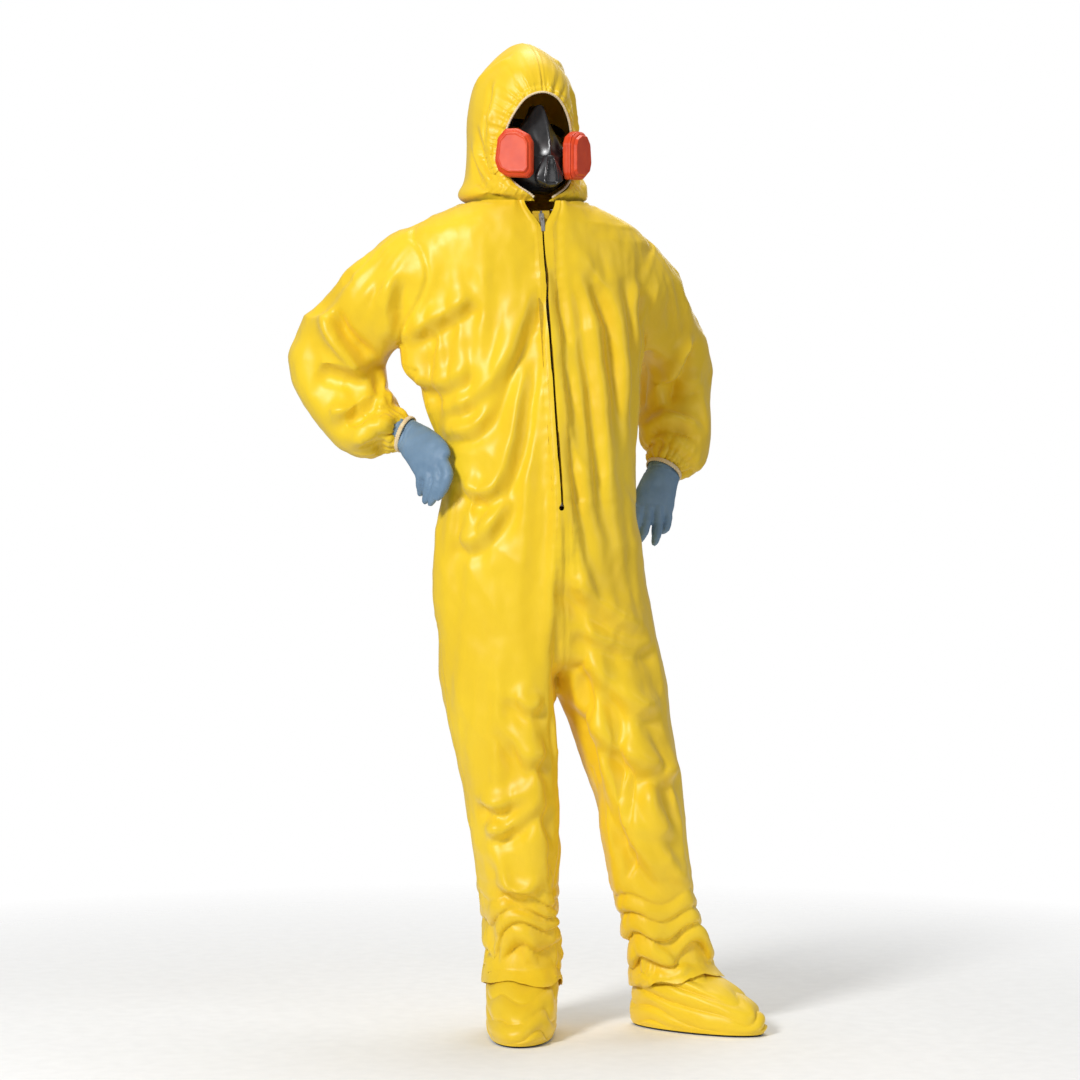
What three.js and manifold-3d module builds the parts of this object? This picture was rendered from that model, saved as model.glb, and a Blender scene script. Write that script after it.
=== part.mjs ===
// Chemical protective suit in its worn shape, with nobody in it: a hooded coverall with a front zip and
// boot covers, a pair of gloves, and a half-mask respirator with two filter cartridges.
// Millimetres, +Z up. The chest faces -Y, the wearer's right is -X, and the soles stand on Z = 0.
import * as THREE from "three";
import { mergeVertices } from "three/addons/utils/BufferGeometryUtils.js";
import Module from "manifold-3d";

const wasm = await Module();
wasm.setup();

// ---------- driving dimensions ----------
const wall = 2; // modelled thickness of the coated fabric and of the glove rubber
const gap = 0.3; // clearance between pieces that touch on the real suit
const seamGap = 0.4; // width of the cut between two sewn panels

const neckHeight = 1548; // neck seam
const hemHeight = 118; // lower edge of the trouser legs
const soleThickness = 3;

// The zip lies on one straight line down the front, from the throat to below the waist.
const zipTop = new THREE.Vector3(7, -110, 1530);
const zipEnd = new THREE.Vector3(36, -158, 982);
const zipSlot = 5; // gap between the two front edges over the zip

const headAxis = new THREE.Vector3(-3, 8, 1650); // middle of the hood, at mouth height
const headYaw = THREE.MathUtils.degToRad(7); // the hood and the mask look a little to the wearer's left

// ---------- materials ----------
const finish = (color, roughness, metalness = 0) =>
  new THREE.MeshStandardMaterial({ color, roughness, metalness });
const yellowFabric = finish(0xf0cf12, 0.42);
const yellowTape = finish(0xd8b010, 0.6);
const creamElastic = finish(0xf3dfae, 0.7);
const blueRubber = finish(0x7f9fc4, 0.5);
const soleRubber = finish(0x24221f, 0.8);
const blackRubber = finish(0x1b1a1c, 0.35);
const blackPlastic = finish(0x26262a, 0.3);
const orangePlastic = finish(0xd8432a, 0.4);
const blackWebbing = finish(0x161616, 0.85);
const clearSilicone = finish(0xd9dde0, 0.3);
const carbonGranules = finish(0x111111, 0.9);
const nickel = finish(0xb5b1aa, 0.3, 0.9);

// ---------- from geometry to solid and back ----------
function solid(geometry) {
  const bare = geometry.clone();
  for (const name of Object.keys(bare.attributes)) {
    if (name !== "position") bare.deleteAttribute(name);
  }
  const merged = mergeVertices(bare, 1e-4);
  return new wasm.Manifold(
    new wasm.Mesh({
      numProp: 3,
      vertProperties: merged.attributes.position.array,
      triVerts: new Uint32Array(merged.index.array),
    }),
  );
}

function geometryOf(manifold) {
  const mesh = manifold.getMesh();
  const geometry = new THREE.BufferGeometry();
  geometry.setAttribute("position", new THREE.BufferAttribute(mesh.vertProperties, 3));
  geometry.setIndex(new THREE.BufferAttribute(mesh.triVerts, 1));
  geometry.computeVertexNormals();
  return geometry;
}

const union = (...solids) => solids.reduce((all, next) => all.add(next));

// The largest body of a cut solid: thin slivers that a cut leaves behind are dropped.
function mainBody(manifold) {
  const bodies = manifold.decompose();
  return bodies.reduce((best, next) => (next.volume() > best.volume() ? next : best));
}

const suit = new THREE.Group();

function addPiece(name, shape, material, parent = suit) {
  const geometry = shape.isBufferGeometry ? shape : geometryOf(shape);
  const mesh = new THREE.Mesh(geometry, material);
  mesh.name = name;
  parent.add(mesh);
  return mesh;
}

// ---------- skins: tubes whose outline changes from row to row ----------
// A row is { at, along, across, wide, deep, shear }: its centre, the way the tube runs, the direction of its
// half-width `wide`, and the half-depth `deep` square to both. `shear` shifts the front of the outline.
function skin(rows, sides, grow = 0, overrunStart = 0, overrunEnd = 0) {
  const geometry = new THREE.CylinderGeometry(1, 1, 1, sides, rows.length - 1);
  const position = geometry.attributes.position;
  const point = new THREE.Vector3();
  for (let i = 0; i < position.count; i++) {
    const index = Math.round((0.5 - position.getY(i)) * (rows.length - 1));
    const row = rows[index];
    const deepAxis = new THREE.Vector3().crossVectors(row.along, row.across);
    const across = position.getX(i);
    const forward = position.getZ(i);
    point.copy(row.at);
    point.addScaledVector(row.across, across * (row.wide + grow));
    point.addScaledVector(deepAxis, forward * (row.deep + grow));
    if (row.shear) point.addScaledVector(row.across, row.shear * Math.max(0, forward));
    if (index === 0) point.addScaledVector(row.along, -overrunStart);
    if (index === rows.length - 1) point.addScaledVector(row.along, overrunEnd);
    position.setXYZ(i, point.x, point.y, point.z);
  }
  return solid(geometry);
}

const down = new THREE.Vector3(0, 0, -1);

// Level rows from the top down, each [height, x, y, half-width, half-depth], turned by yaw about their own centre.
function levelRows(table, yaw = 0) {
  return table.map(([z, x, y, wide, deep]) => ({
    at: new THREE.Vector3(x, y, z),
    along: down,
    across: new THREE.Vector3(Math.cos(yaw), Math.sin(yaw), 0),
    wide,
    deep,
  }));
}

// Rows square to a smooth spine through a few points, each [x, y, z, in-plane radius, depth radius].
function limbRows(table, count) {
  const spine = new THREE.CatmullRomCurve3(table.map(([x, y, z]) => new THREE.Vector3(x, y, z)));
  const radii = new THREE.CatmullRomCurve3(table.map(([, , , a, b]) => new THREE.Vector3(a, b, 0)));
  const [first, elbow, last] = [spine.getPoint(0), spine.getPoint(0.5), spine.getPoint(1)];
  const acrossPlane = new THREE.Vector3()
    .crossVectors(elbow.clone().sub(first), last.clone().sub(elbow))
    .normalize();
  return Array.from({ length: count }, (_, i) => {
    const t = i / (count - 1);
    const along = spine.getTangent(t);
    const across = acrossPlane.clone().addScaledVector(along, -acrossPlane.dot(along)).normalize();
    const size = radii.getPoint(t);
    return { at: spine.getPoint(t), along, across, wide: size.y, deep: size.x };
  });
}

// ---------- prisms used as cutters ----------
function prism(points, depth) {
  const outline = new THREE.Shape(points.map(([a, b]) => new THREE.Vector2(a, b)));
  return new THREE.ExtrudeGeometry(outline, { depth, bevelEnabled: false, curveSegments: 8 });
}

// The outline's [x, z] points, pushed along Y from `from` to `to`.
function prismAlongY(points, from, to) {
  return solid(prism(points, to - from).rotateX(Math.PI / 2).translate(0, to, 0));
}

// The outline's [y, z] points, pushed along X from `from` to `to`.
function prismAlongX(points, from, to) {
  const turn = new THREE.Matrix4().makeBasis(
    new THREE.Vector3(0, 1, 0),
    new THREE.Vector3(0, 0, 1),
    new THREE.Vector3(1, 0, 0),
  );
  return solid(prism(points, to - from).applyMatrix4(turn).translate(from, 0, 0));
}

// ---------- coverall: body ----------
const zipPoint = (z) => zipTop.clone().lerp(zipEnd, (zipTop.z - z) / (zipTop.z - zipEnd.z));

// [height, centre x, half-width, back y, front y]; where no front is given, it is on the line of the zip.
const torsoTable = [
  [1548, 0, 112, 108],
  [1530, 1, 154, 108],
  [1508, 2, 204, 110],
  [1480, 3, 232, 116],
  [1440, 2, 238, 124],
  [1370, -2, 234, 134],
  [1290, -6, 230, 136],
  [1200, 12, 208, 130],
  [1090, 28, 180, 122],
  [982, 14, 192, 130],
  [883, 21, 206, 140, -158],
  [790, 40, 220, 138, -150],
  [735, 52, 190, 118, -128],
  [700, 60, 110, 70, -84],
];

const torsoRows = torsoTable.map(([z, x, wide, back, front]) => {
  const onZip = zipPoint(z);
  const frontY = front ?? onZip.y;
  const [row] = levelRows([[z, x, (back + frontY) / 2, wide, (back - frontY) / 2]]);
  row.shear = (front === undefined ? onZip.x : Math.min(60, onZip.x + 6)) - x;
  return row;
});

const rightLegTable = [
  [806, -60, 0, 96, 116],
  [690, -56, -2, 111, 118],
  [570, -42, -12, 103, 108],
  [467, -30, -18, 94, 98],
  [350, -14, -8, 88, 92],
  [249, -6, 2, 79, 84],
  [170, 0, 8, 73, 78],
  [hemHeight, 0, 8, 76, 84],
];
const leftLegTable = [
  [806, 150, 0, 94, 116],
  [690, 172, -5, 108, 118],
  [620, 184, -14, 101, 112],
  [453, 217, -38, 93, 98],
  [300, 245, -25, 84, 90],
  [170, 282, -6, 78, 82],
  [hemHeight, 286, -4, 82, 88],
];

// The wearer stands with a hand on each hip, so both sleeves bend back at the elbow.
const rightSleeveTable = [
  [-150, 8, 1425, 102, 86],
  [-232, 28, 1402, 96, 86],
  [-298, 76, 1346, 84, 82],
  [-348, 118, 1268, 82, 78],
  [-306, 92, 1176, 76, 72],
  [-266, 63, 1140, 68, 60],
  [-224, 36, 1120, 38, 38],
];
const leftSleeveTable = [
  [150, 8, 1428, 102, 86],
  [228, 40, 1398, 92, 84],
  [290, 104, 1338, 76, 76],
  [332, 160, 1258, 72, 72],
  [331, 148, 1168, 68, 68],
  [320, 120, 1096, 64, 62],
  [296, 102, 1056, 38, 38],
];

const torsoSides = 28;
const legSides = 16;
const sleeveSides = 16;
const sleeveRows = 9;

const torso = (grow, over = 0) => skin(torsoRows, torsoSides, grow, over, 0);
const rightLeg = (grow, over = 0) => skin(levelRows(rightLegTable), legSides, grow, 0, over);
const leftLeg = (grow, over = 0) => skin(levelRows(leftLegTable), legSides, grow, 0, over);
const rightSleeve = (grow, over = 0) =>
  skin(limbRows(rightSleeveTable, sleeveRows), sleeveSides, grow, 0, over);
const leftSleeve = (grow, over = 0) =>
  skin(limbRows(leftSleeveTable, sleeveRows), sleeveSides, grow, 0, over);

const throatNotch = prismAlongY(
  [
    [zipTop.x, zipTop.z],
    [zipTop.x + 36, neckHeight + 30],
    [zipTop.x - 36, neckHeight + 30],
  ],
  -200,
  0,
);

const bodyShell = union(torso(0), rightLeg(0), leftLeg(0))
  .subtract(union(torso(-wall, 5), rightLeg(-wall, 5), leftLeg(-wall, 5)))
  .subtract(rightSleeve(-wall, 5))
  .subtract(leftSleeve(-wall, 5))
  .subtract(throatNotch);

// The middle seam follows the zip, then runs on to the crotch and splits the legs.
const far = 700;
const middleSeam = [
  [zipPoint(1600).x, 1600],
  [zipEnd.x, zipEnd.z],
  [46, 840],
  [61, 700],
  [61, 60],
];
const rightSide = [
  [-far, 1600],
  ...middleSeam.map(([x, z]) => [x - seamGap / 2, z]),
  [-far, 60],
];
const leftSide = [
  [far, 1600],
  ...middleSeam.map(([x, z]) => [x + seamGap / 2, z]),
  [far, 60],
];

// Each side seam follows the middle of its sleeve hole and of its leg, in the [y, z] plane.
const seamOf = (legTable) => [
  [0, 1600],
  [0, 900],
  ...legTable.slice(1).map(([z, , y]) => [y, z]),
  [legTable.at(-1)[2], 60],
];
const frontOf = (seam) => [[-far, 1600], ...seam.map(([y, z]) => [y - seamGap / 2, z]), [-far, 60]];
const backOf = (seam) => [[far, 1600], ...seam.map(([y, z]) => [y + seamGap / 2, z]), [far, 60]];

// A frame whose local -Z runs down the zip and whose local -Y points out of the chest.
const zipFrame = new THREE.Group();
const zipUp = zipTop.clone().sub(zipEnd).normalize();
const zipAcross = new THREE.Vector3(1, 0, 0).addScaledVector(zipUp, -zipUp.x).normalize();
const zipIn = new THREE.Vector3().crossVectors(zipUp, zipAcross);
const zipLength = zipTop.distanceTo(zipEnd);
zipFrame.matrix.makeBasis(zipAcross, zipIn, zipUp).setPosition(zipTop);
zipFrame.matrix.decompose(zipFrame.position, zipFrame.quaternion, zipFrame.scale);
suit.add(zipFrame);

const box = (x0, x1, y0, y1, z0, z1) =>
  new THREE.BoxGeometry(x1 - x0, y1 - y0, z1 - z0).translate((x0 + x1) / 2, (y0 + y1) / 2, (z0 + z1) / 2);

const zipOpening = solid(
  box(-zipSlot / 2, zipSlot / 2, -30, 14, -zipLength - 6, 60).applyMatrix4(zipFrame.matrix),
);
const rightHalf = bodyShell.intersect(prismAlongY(rightSide, -far, far));
const leftHalf = bodyShell.intersect(prismAlongY(leftSide, -far, far));
const rightSeam = seamOf(rightLegTable);
const leftSeam = seamOf(leftLegTable);
const panels = {
  right_front_panel: rightHalf.intersect(prismAlongX(frontOf(rightSeam), -far, far)).subtract(zipOpening),
  left_front_panel: leftHalf.intersect(prismAlongX(frontOf(leftSeam), -far, far)).subtract(zipOpening),
  right_back_panel: rightHalf.intersect(prismAlongX(backOf(rightSeam), -far, far)),
  left_back_panel: leftHalf.intersect(prismAlongX(backOf(leftSeam), -far, far)),
};
for (const [name, panel] of Object.entries(panels)) {
  addPiece(name, mainBody(panel), yellowFabric);
}

// ---------- coverall: sleeves and their elastic cuffs ----------
const cuffWidth = 7;
const sleeves = { right: [rightSleeve, rightSleeveTable], left: [leftSleeve, leftSleeveTable] };
for (const [side, [sleeve, table]] of Object.entries(sleeves)) {
  const tube = sleeve(0).subtract(sleeve(-wall, 5)).subtract(torso(gap));
  addPiece(`${side}_sleeve`, mainBody(tube), yellowFabric);
  const rows = limbRows(table, sleeveRows);
  const end = rows.at(-1);
  const elastic = [0, 1].map((share) => ({
    ...end,
    at: end.at.clone().addScaledVector(end.along, gap + share * cuffWidth),
  }));
  addPiece(
    `${side}_wrist_elastic`,
    skin(elastic, 20, 0.6).subtract(skin(elastic, 20, -wall - 0.4, 3, 3)),
    creamElastic,
  );
}

// ---------- boot covers, ankle elastics and soles ----------
// [height, step towards the toe, half-width, half-length]
const bootTable = [
  [168, 0, 58, 60],
  [125, 2, 62, 68],
  [100, 14, 66, 86],
  [75, 38, 66, 112],
  [45, 56, 64, 136],
  [18, 62, 63, 146],
  [soleThickness + gap, 62, 59, 141],
];
const ankles = {
  right: { at: new THREE.Vector3(-2, 10, 0), yaw: THREE.MathUtils.degToRad(-14), sides: 20 },
  left: { at: new THREE.Vector3(280, -2, 0), yaw: THREE.MathUtils.degToRad(42), sides: 20 },
};
function bootRows({ at, yaw }, table) {
  const toe = new THREE.Vector3(Math.sin(yaw), -Math.cos(yaw), 0);
  return levelRows(
    table.map(([z, step, wide, deep]) => [z, at.x + toe.x * step, at.y + toe.y * step, wide, deep]),
    yaw,
  );
}
for (const [side, ankle] of Object.entries(ankles)) {
  const outer = skin(bootRows(ankle, bootTable), ankle.sides);
  const insideTable = bootTable.map(([z, ...rest], i) => [
    i === bootTable.length - 1 ? z + wall : z,
    ...rest,
  ]);
  const inner = skin(bootRows(ankle, insideTable), ankle.sides, -wall, 5, 0);
  addPiece(`${side}_boot_cover`, outer.subtract(inner), yellowFabric);

  const [, step, wide, deep] = bootTable.at(-1);
  const soleTable = [
    [soleThickness, step, wide - 1, deep - 1],
    [0, step, wide - 3, deep - 3],
  ];
  addPiece(`${side}_sole`, skin(bootRows(ankle, soleTable), 28), soleRubber);

  const bandTable = [
    [158, 0.5, 60.5, 63],
    [148, 1, 61.5, 65],
  ];
  const band = skin(bootRows(ankle, bandTable), ankle.sides, 1.6);
  const insideBand = skin(bootRows(ankle, bandTable), ankle.sides, gap, 3, 3);
  addPiece(`${side}_ankle_elastic`, band.subtract(insideBand), creamElastic);
}

// ---------- hood ----------
// [height, y behind the head axis, half-width, half-depth], from the crown down, in the head's own frame.
const hoodTable = [
  [1849, -2, 8, 10],
  [1838, -2, 34, 42],
  [1812, 0, 66, 84],
  [1775, 2, 90, 113],
  [1716, 3, 100, 125],
  [1660, 3, 102, 120],
  [1605, 1, 107, 114],
  [1566, -4, 117, 116],
  [neckHeight + gap, -7, 113, 110],
];
const head = new THREE.Group();
head.position.copy(headAxis);
head.rotation.z = headYaw;
suit.add(head);
head.updateMatrix();
const toHead = (point) => point.applyMatrix4(head.matrix);

function hoodRows(table) {
  return table.map(([z, y, wide, deep]) => ({
    at: toHead(new THREE.Vector3(0, y, z - headAxis.z)),
    along: down,
    across: new THREE.Vector3(Math.cos(headYaw), Math.sin(headYaw), 0),
    wide,
    deep,
  }));
}
const hoodSides = 24;
const hoodOuter = skin(hoodRows(hoodTable), hoodSides);
const hoodInner = skin(
  hoodRows(hoodTable.map(([z, ...rest], i) => [i === 0 ? z - wall : z, ...rest])),
  hoodSides,
  -wall,
  0,
  5,
);

// Half of the face opening, [half-width, height] from the brow down: it narrows to a slit under the chin.
const faceEdge = [
  [0, 96],
  [30, 85],
  [54, 52],
  [67, 18],
  [73, -18],
  [69, -50],
  [48, -78],
  [20, -98],
  [12, -106],
];
const faceBottom = faceEdge.at(-1)[1];
const faceCurve = new THREE.SplineCurve(faceEdge.map(([x, z]) => new THREE.Vector2(x, z)));
function faceHalf(inset, count) {
  return faceCurve.getSpacedPoints(count).map((point, i) => {
    const tangent = faceCurve.getTangentAt(i / count);
    return new THREE.Vector2(i === 0 ? 0 : point.x + tangent.y * inset, point.y - tangent.x * inset);
  });
}
const faceSteps = 16;
const openingHalf = faceHalf(0, faceSteps);
const faceOutline = new THREE.Shape([
  ...openingHalf,
  ...openingHalf
    .slice(1)
    .reverse()
    .map(({ x, y }) => new THREE.Vector2(-x, y)),
]);
const faceCutter = solid(
  new THREE.ExtrudeGeometry(faceOutline, { depth: 220, bevelEnabled: false })
    .rotateX(Math.PI / 2)
    .applyMatrix4(head.matrix),
);
const hoodShell = hoodOuter.subtract(hoodInner).subtract(faceCutter).subtract(throatNotch);
const hoodCut = (sign) =>
  solid(
    box(seamGap / 2, 300, -300, 300, -200, 260)
      .applyMatrix4(new THREE.Matrix4().makeRotationZ(sign > 0 ? 0 : Math.PI))
      .applyMatrix4(head.matrix),
  );
addPiece("hood_right_panel", mainBody(hoodShell.intersect(hoodCut(-1))), yellowFabric);
addPiece("hood_left_panel", mainBody(hoodShell.intersect(hoodCut(1))), yellowFabric);

// Half-width and front of the hood at a height, in the head's frame.
function hoodAt(z) {
  const heights = hoodTable.map(([height]) => height - headAxis.z);
  let i = 1;
  while (i < heights.length - 1 && heights[i] > z) i++;
  const share = (heights[i - 1] - z) / (heights[i - 1] - heights[i]);
  const [, y, wide, deep] = hoodTable[i].map((value, k) =>
    THREE.MathUtils.lerp(hoodTable[i - 1][k], value, share),
  );
  return { y, wide, deep };
}
function onHood(x, z) {
  const { y, wide, deep } = hoodAt(z);
  return new THREE.Vector3(x, y - (deep - wall / 2) * Math.sqrt(1 - (x / wide) ** 2), z);
}

const ribbon = (width, thickness) =>
  new THREE.Shape([
    new THREE.Vector2(-width / 2, -thickness / 2),
    new THREE.Vector2(width / 2, -thickness / 2),
    new THREE.Vector2(width / 2, thickness / 2),
    new THREE.Vector2(-width / 2, thickness / 2),
  ]);
const round = (radius) => new THREE.Shape().absarc(0, 0, radius, 0, Math.PI * 2);
const along = (section, path, steps, curveSegments = 3) =>
  new THREE.ExtrudeGeometry(section, { extrudePath: path, steps, curveSegments, bevelEnabled: false });

const faceElasticRadius = 2.2;
const rimHalf = faceHalf(faceElasticRadius + 0.9, faceSteps)
  .filter(({ y }) => y > faceBottom + 8)
  .map(({ x, y }) => onHood(x, y));
const mirrored = rimHalf
  .slice(1)
  .reverse()
  .map(({ x, y, z }) => new THREE.Vector3(-x, y, z));
const rimPath = [...mirrored, ...rimHalf];
addPiece(
  "face_elastic",
  along(round(faceElasticRadius), new THREE.CatmullRomCurve3(rimPath), 34, 3),
  creamElastic,
  head,
);

// ---------- zip ----------
// Depths are behind the outer surface of the front panels, in the zip's frame.
const tapeFront = 4.6;
const tapeBack = 5.4;
const toothTip = 0.75; // the rows stand this far from the middle line
const toothRoot = 2;
const toothPitch = 16;
const toothLength = 9;
const teethFront = 3.9;
const teethBack = 6.1;
const teethTop = -14;
const teethEnd = -zipLength + 12;
const sides = [["right", -1], ["left", 1]];

// A box given for the left side, mirrored for the right.
const sideBox = (sign, x0, x1, ...rest) =>
  sign > 0 ? box(x0, x1, ...rest) : box(-x1, -x0, ...rest);

for (const [side, sign] of sides) {
  const tape = sideBox(sign, toothRoot + 0.2, 16, tapeFront, tapeBack, -zipLength + 2, -2);
  addPiece(`zip_tape_${side}`, tape, yellowTape, zipFrame);
  const teeth = new THREE.Shape();
  teeth.moveTo(toothRoot * sign, teethTop);
  teeth.lineTo(1.3 * sign, teethTop);
  for (let z = teethTop; z - toothPitch > teethEnd; z -= toothPitch) {
    teeth.lineTo(toothTip * sign, z - 1);
    teeth.lineTo(toothTip * sign, z - toothLength);
    teeth.lineTo(1.3 * sign, z - toothLength - 1);
    teeth.lineTo(1.3 * sign, z - toothPitch);
  }
  teeth.lineTo(1.3 * sign, teethEnd);
  teeth.lineTo(toothRoot * sign, teethEnd);
  const row = new THREE.ExtrudeGeometry(teeth, { depth: teethBack - teethFront, bevelEnabled: false });
  addPiece(`zip_teeth_${side}`, solid(row.rotateX(Math.PI / 2).translate(0, teethBack, 0)), blackPlastic, zipFrame);
  const stop = sideBox(sign, 0.7, toothRoot - 0.1, 3.5, 6.5, teethTop + 8, teethTop + 12);
  addPiece(`zip_top_stop_${side}`, stop, nickel, zipFrame);
}
const bottomStop = box(-1.9, 1.9, 3.5, 6.5, -zipLength + 3, -zipLength + 10);
addPiece("zip_bottom_stop", bottomStop, nickel, zipFrame);

// The slider runs inside the tape slot; its lug comes out through the gap between the panels.
const sliderTop = teethTop + 7;
const sliderEnd = teethTop - 9;
const pivotOut = -3;
const pivotDown = sliderTop - 8;
const piece = (...bounds) => solid(box(...bounds));
const pivotHole = solid(
  new THREE.CylinderGeometry(1.25, 1.25, 10, 16).rotateZ(Math.PI / 2).translate(0, pivotOut, pivotDown),
);
const slider = union(
  piece(-4.5, 4.5, 2.6, 3.6, sliderEnd, sliderTop),
  piece(-4.5, 4.5, 6.4, 7.4, sliderEnd, sliderTop),
  piece(-0.4, 0.4, 3.5, 6.5, sliderTop - 4, sliderTop),
  piece(-4.5, -3.7, 3.5, 4.4, sliderEnd, sliderTop),
  piece(3.7, 4.5, 3.5, 4.4, sliderEnd, sliderTop),
  piece(-4.5, -3.7, 5.6, 6.5, sliderEnd, sliderTop),
  piece(3.7, 4.5, 5.6, 6.5, sliderEnd, sliderTop),
  piece(-1.2, 1.2, pivotOut - 2.2, 2.7, pivotDown - 2.6, pivotDown + 2.6),
).subtract(pivotHole);
addPiece("zip_slider", slider, nickel, zipFrame);

const puller = union(
  solid(new THREE.CylinderGeometry(1, 1, 6, 16).rotateZ(Math.PI / 2).translate(0, pivotOut, pivotDown)),
  piece(-3.4, -1.6, pivotOut - 0.9, pivotOut + 0.9, pivotDown - 8, pivotDown + 1),
  piece(1.6, 3.4, pivotOut - 0.9, pivotOut + 0.9, pivotDown - 8, pivotDown + 1),
  piece(-3.4, 3.4, pivotOut - 0.9, pivotOut + 0.9, pivotDown - 26, pivotDown - 6),
);
addPiece("zip_puller", puller, nickel, zipFrame);

// ---------- gloves ----------
// Rows from the cuff to the knuckles: [x, y, z, half-width, half-thickness]; each finger runs from its knuckle,
// through a joint, to its tip: [x, y, z, radius].
const rightGlove = {
  acrossWrist: [0.5, -0.1, 0.86],
  acrossPalm: [0.68, -0.7, 0.2],
  palm: [
    [-245, 50, 1131, 31, 30],
    [-218, 31.5, 1117.5, 30, 28],
    [-203, -8, 1098, 38, 20],
    [-190, -40, 1076, 43, 16],
    [-183, -58, 1058, 42, 13],
  ],
  fingers: [
    [[-168, -68, 1066, 11], [-164, -88, 1042, 11], [-174, -82, 1012, 9.5], [-180, -76, 998, 6]],
    [[-180, -56, 1064, 11], [-178, -74, 1030, 11], [-187, -64, 1000, 9.5], [-191, -58, 988, 6]],
    [[-192, -44, 1062, 11], [-192, -56, 1030, 11], [-195, -46, 1002, 9.5], [-198, -40, 992, 6]],
    [[-202, -32, 1064, 10], [-206, -38, 1036, 10], [-203, -28, 1014, 8.5], [-204, -22, 1006, 5.5]],
    [[-196, 8, 1088, 13], [-182, 30, 1078, 12], [-172, 50, 1072, 10.5], [-168, 62, 1068, 6.5]],
  ],
};
const leftGlove = {
  acrossWrist: [0.86, 0.22, -0.46],
  acrossPalm: [0.95, 0.26, -0.1],
  palm: [
    [304, 112, 1084, 31, 30],
    [294, 100, 1050, 32, 30],
    [282, 90, 1024, 38, 20],
    [270, 78, 996, 43, 16],
    [264, 70, 974, 42, 13],
  ],
  fingers: [
    [[233, 60, 982, 11], [226, 50, 958, 11], [222, 56, 938, 9.5], [221, 64, 928, 6]],
    [[252, 64, 982, 11], [247, 54, 954, 11], [240, 54, 930, 9.5], [237, 58, 918, 6]],
    [[272, 69, 982, 11], [271, 60, 950, 11], [267, 56, 924, 9.5], [264, 58, 912, 6]],
    [[291, 76, 984, 10], [294, 72, 958, 10], [291, 80, 940, 8.5], [287, 90, 934, 5.5]],
    [[262, 92, 1012, 13], [246, 102, 994, 12], [232, 106, 980, 10.5], [224, 106, 972, 6.5]],
  ],
};
function handRows(table, acrossFirst, acrossLast) {
  const points = table.map(([x, y, z]) => new THREE.Vector3(x, y, z));
  return table.map(([, , , wide, deep], i) => {
    const before = points[Math.max(0, i - 1)];
    const after = points[Math.min(points.length - 1, i + 1)];
    const run = after.clone().sub(before).normalize();
    const across = new THREE.Vector3(...acrossFirst)
      .lerp(new THREE.Vector3(...acrossLast), Math.min(1, i / 2))
      .projectOnPlane(run)
      .normalize();
    return { at: points[i], along: run, across, wide, deep: deep ?? wide };
  });
}
function gloveSolid({ palm, fingers, acrossWrist, acrossPalm }, grow, over) {
  const hand = skin(handRows(palm, acrossWrist, acrossPalm), 14, grow, over, 0);
  const digits = fingers.map((finger) =>
    skin(handRows(finger, acrossPalm, acrossPalm), 7, grow, over ? 4 : 0, over ? -wall : 0),
  );
  return union(hand, ...digits);
}
for (const [side, glove] of [["right", rightGlove], ["left", leftGlove]]) {
  addPiece(`${side}_glove`, mainBody(gloveSolid(glove, 0, 0).subtract(gloveSolid(glove, -wall, 5))), blueRubber);
}

// ---------- respirator: facepiece ----------
const mask = new THREE.Group();
mask.position.set(-1.6, -70, -8);
mask.rotation.z = THREE.MathUtils.degToRad(4.5);
head.add(mask);

// [height, half-width, depth in front of the face]
const faceTable = [
  [80, 12, 36],
  [60, 21, 48],
  [30, 37, 60],
  [5, 49, 68],
  [-20, 56, 72],
  [-50, 52, 64],
  [-75, 37, 38],
];
const rubber = 2.5;
const faceRows = levelRows(faceTable.map(([z, wide, deep]) => [z, 0, 0, wide, deep]));
const portAngle = THREE.MathUtils.degToRad(36.87);
const cartridgeAt = [64, -56, -12];
const shellBack = 14;
const portRadius = 15;
const exhaleHeight = -42;

// Turned shapes about the local Y axis, from [radius, y] pairs.
const turned = (profile, segments = 16) =>
  solid(new THREE.LatheGeometry(profile.map(([r, y]) => new THREE.Vector2(r, y)), segments));
const ring = (inner, outer, y0, y1) =>
  turned([[inner, y0], [outer, y0], [outer, y1], [inner, y1], [inner, y0]]);
const plug = (radius, y0, y1) => turned([[0, y0], [radius, y0], [radius, y1], [0, y1]]);

const portFrames = sides.map(([side, sign]) => {
  const frame = new THREE.Group();
  frame.position.set(cartridgeAt[0] * sign, cartridgeAt[1], cartridgeAt[2]);
  frame.rotation.z = portAngle * sign;
  mask.add(frame);
  frame.updateMatrix();
  return { side, sign, frame };
});
const placed = (manifold, matrix) => solid(geometryOf(manifold).applyMatrix4(matrix));

const exhaleShift = new THREE.Matrix4().makeTranslation(0, 0, exhaleHeight);
let facepiece = skin(faceRows, 20);
for (const { frame } of portFrames) {
  facepiece = facepiece.add(placed(plug(portRadius + 4, shellBack + 3.4, shellBack + 24), frame.matrix));
}
facepiece = facepiece.subtract(skin(faceRows, 20, -rubber, -rubber, 3));
for (const { frame } of portFrames) {
  facepiece = facepiece.subtract(placed(plug(portRadius + gap, 0, shellBack + 40), frame.matrix));
}
facepiece = facepiece
  .subtract(placed(plug(13.3, -90, -30), exhaleShift))
  .intersect(piece(-100, 100, -100, 5, -100, 100));
addPiece("facepiece", mainBody(facepiece), blackRubber, mask);

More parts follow.
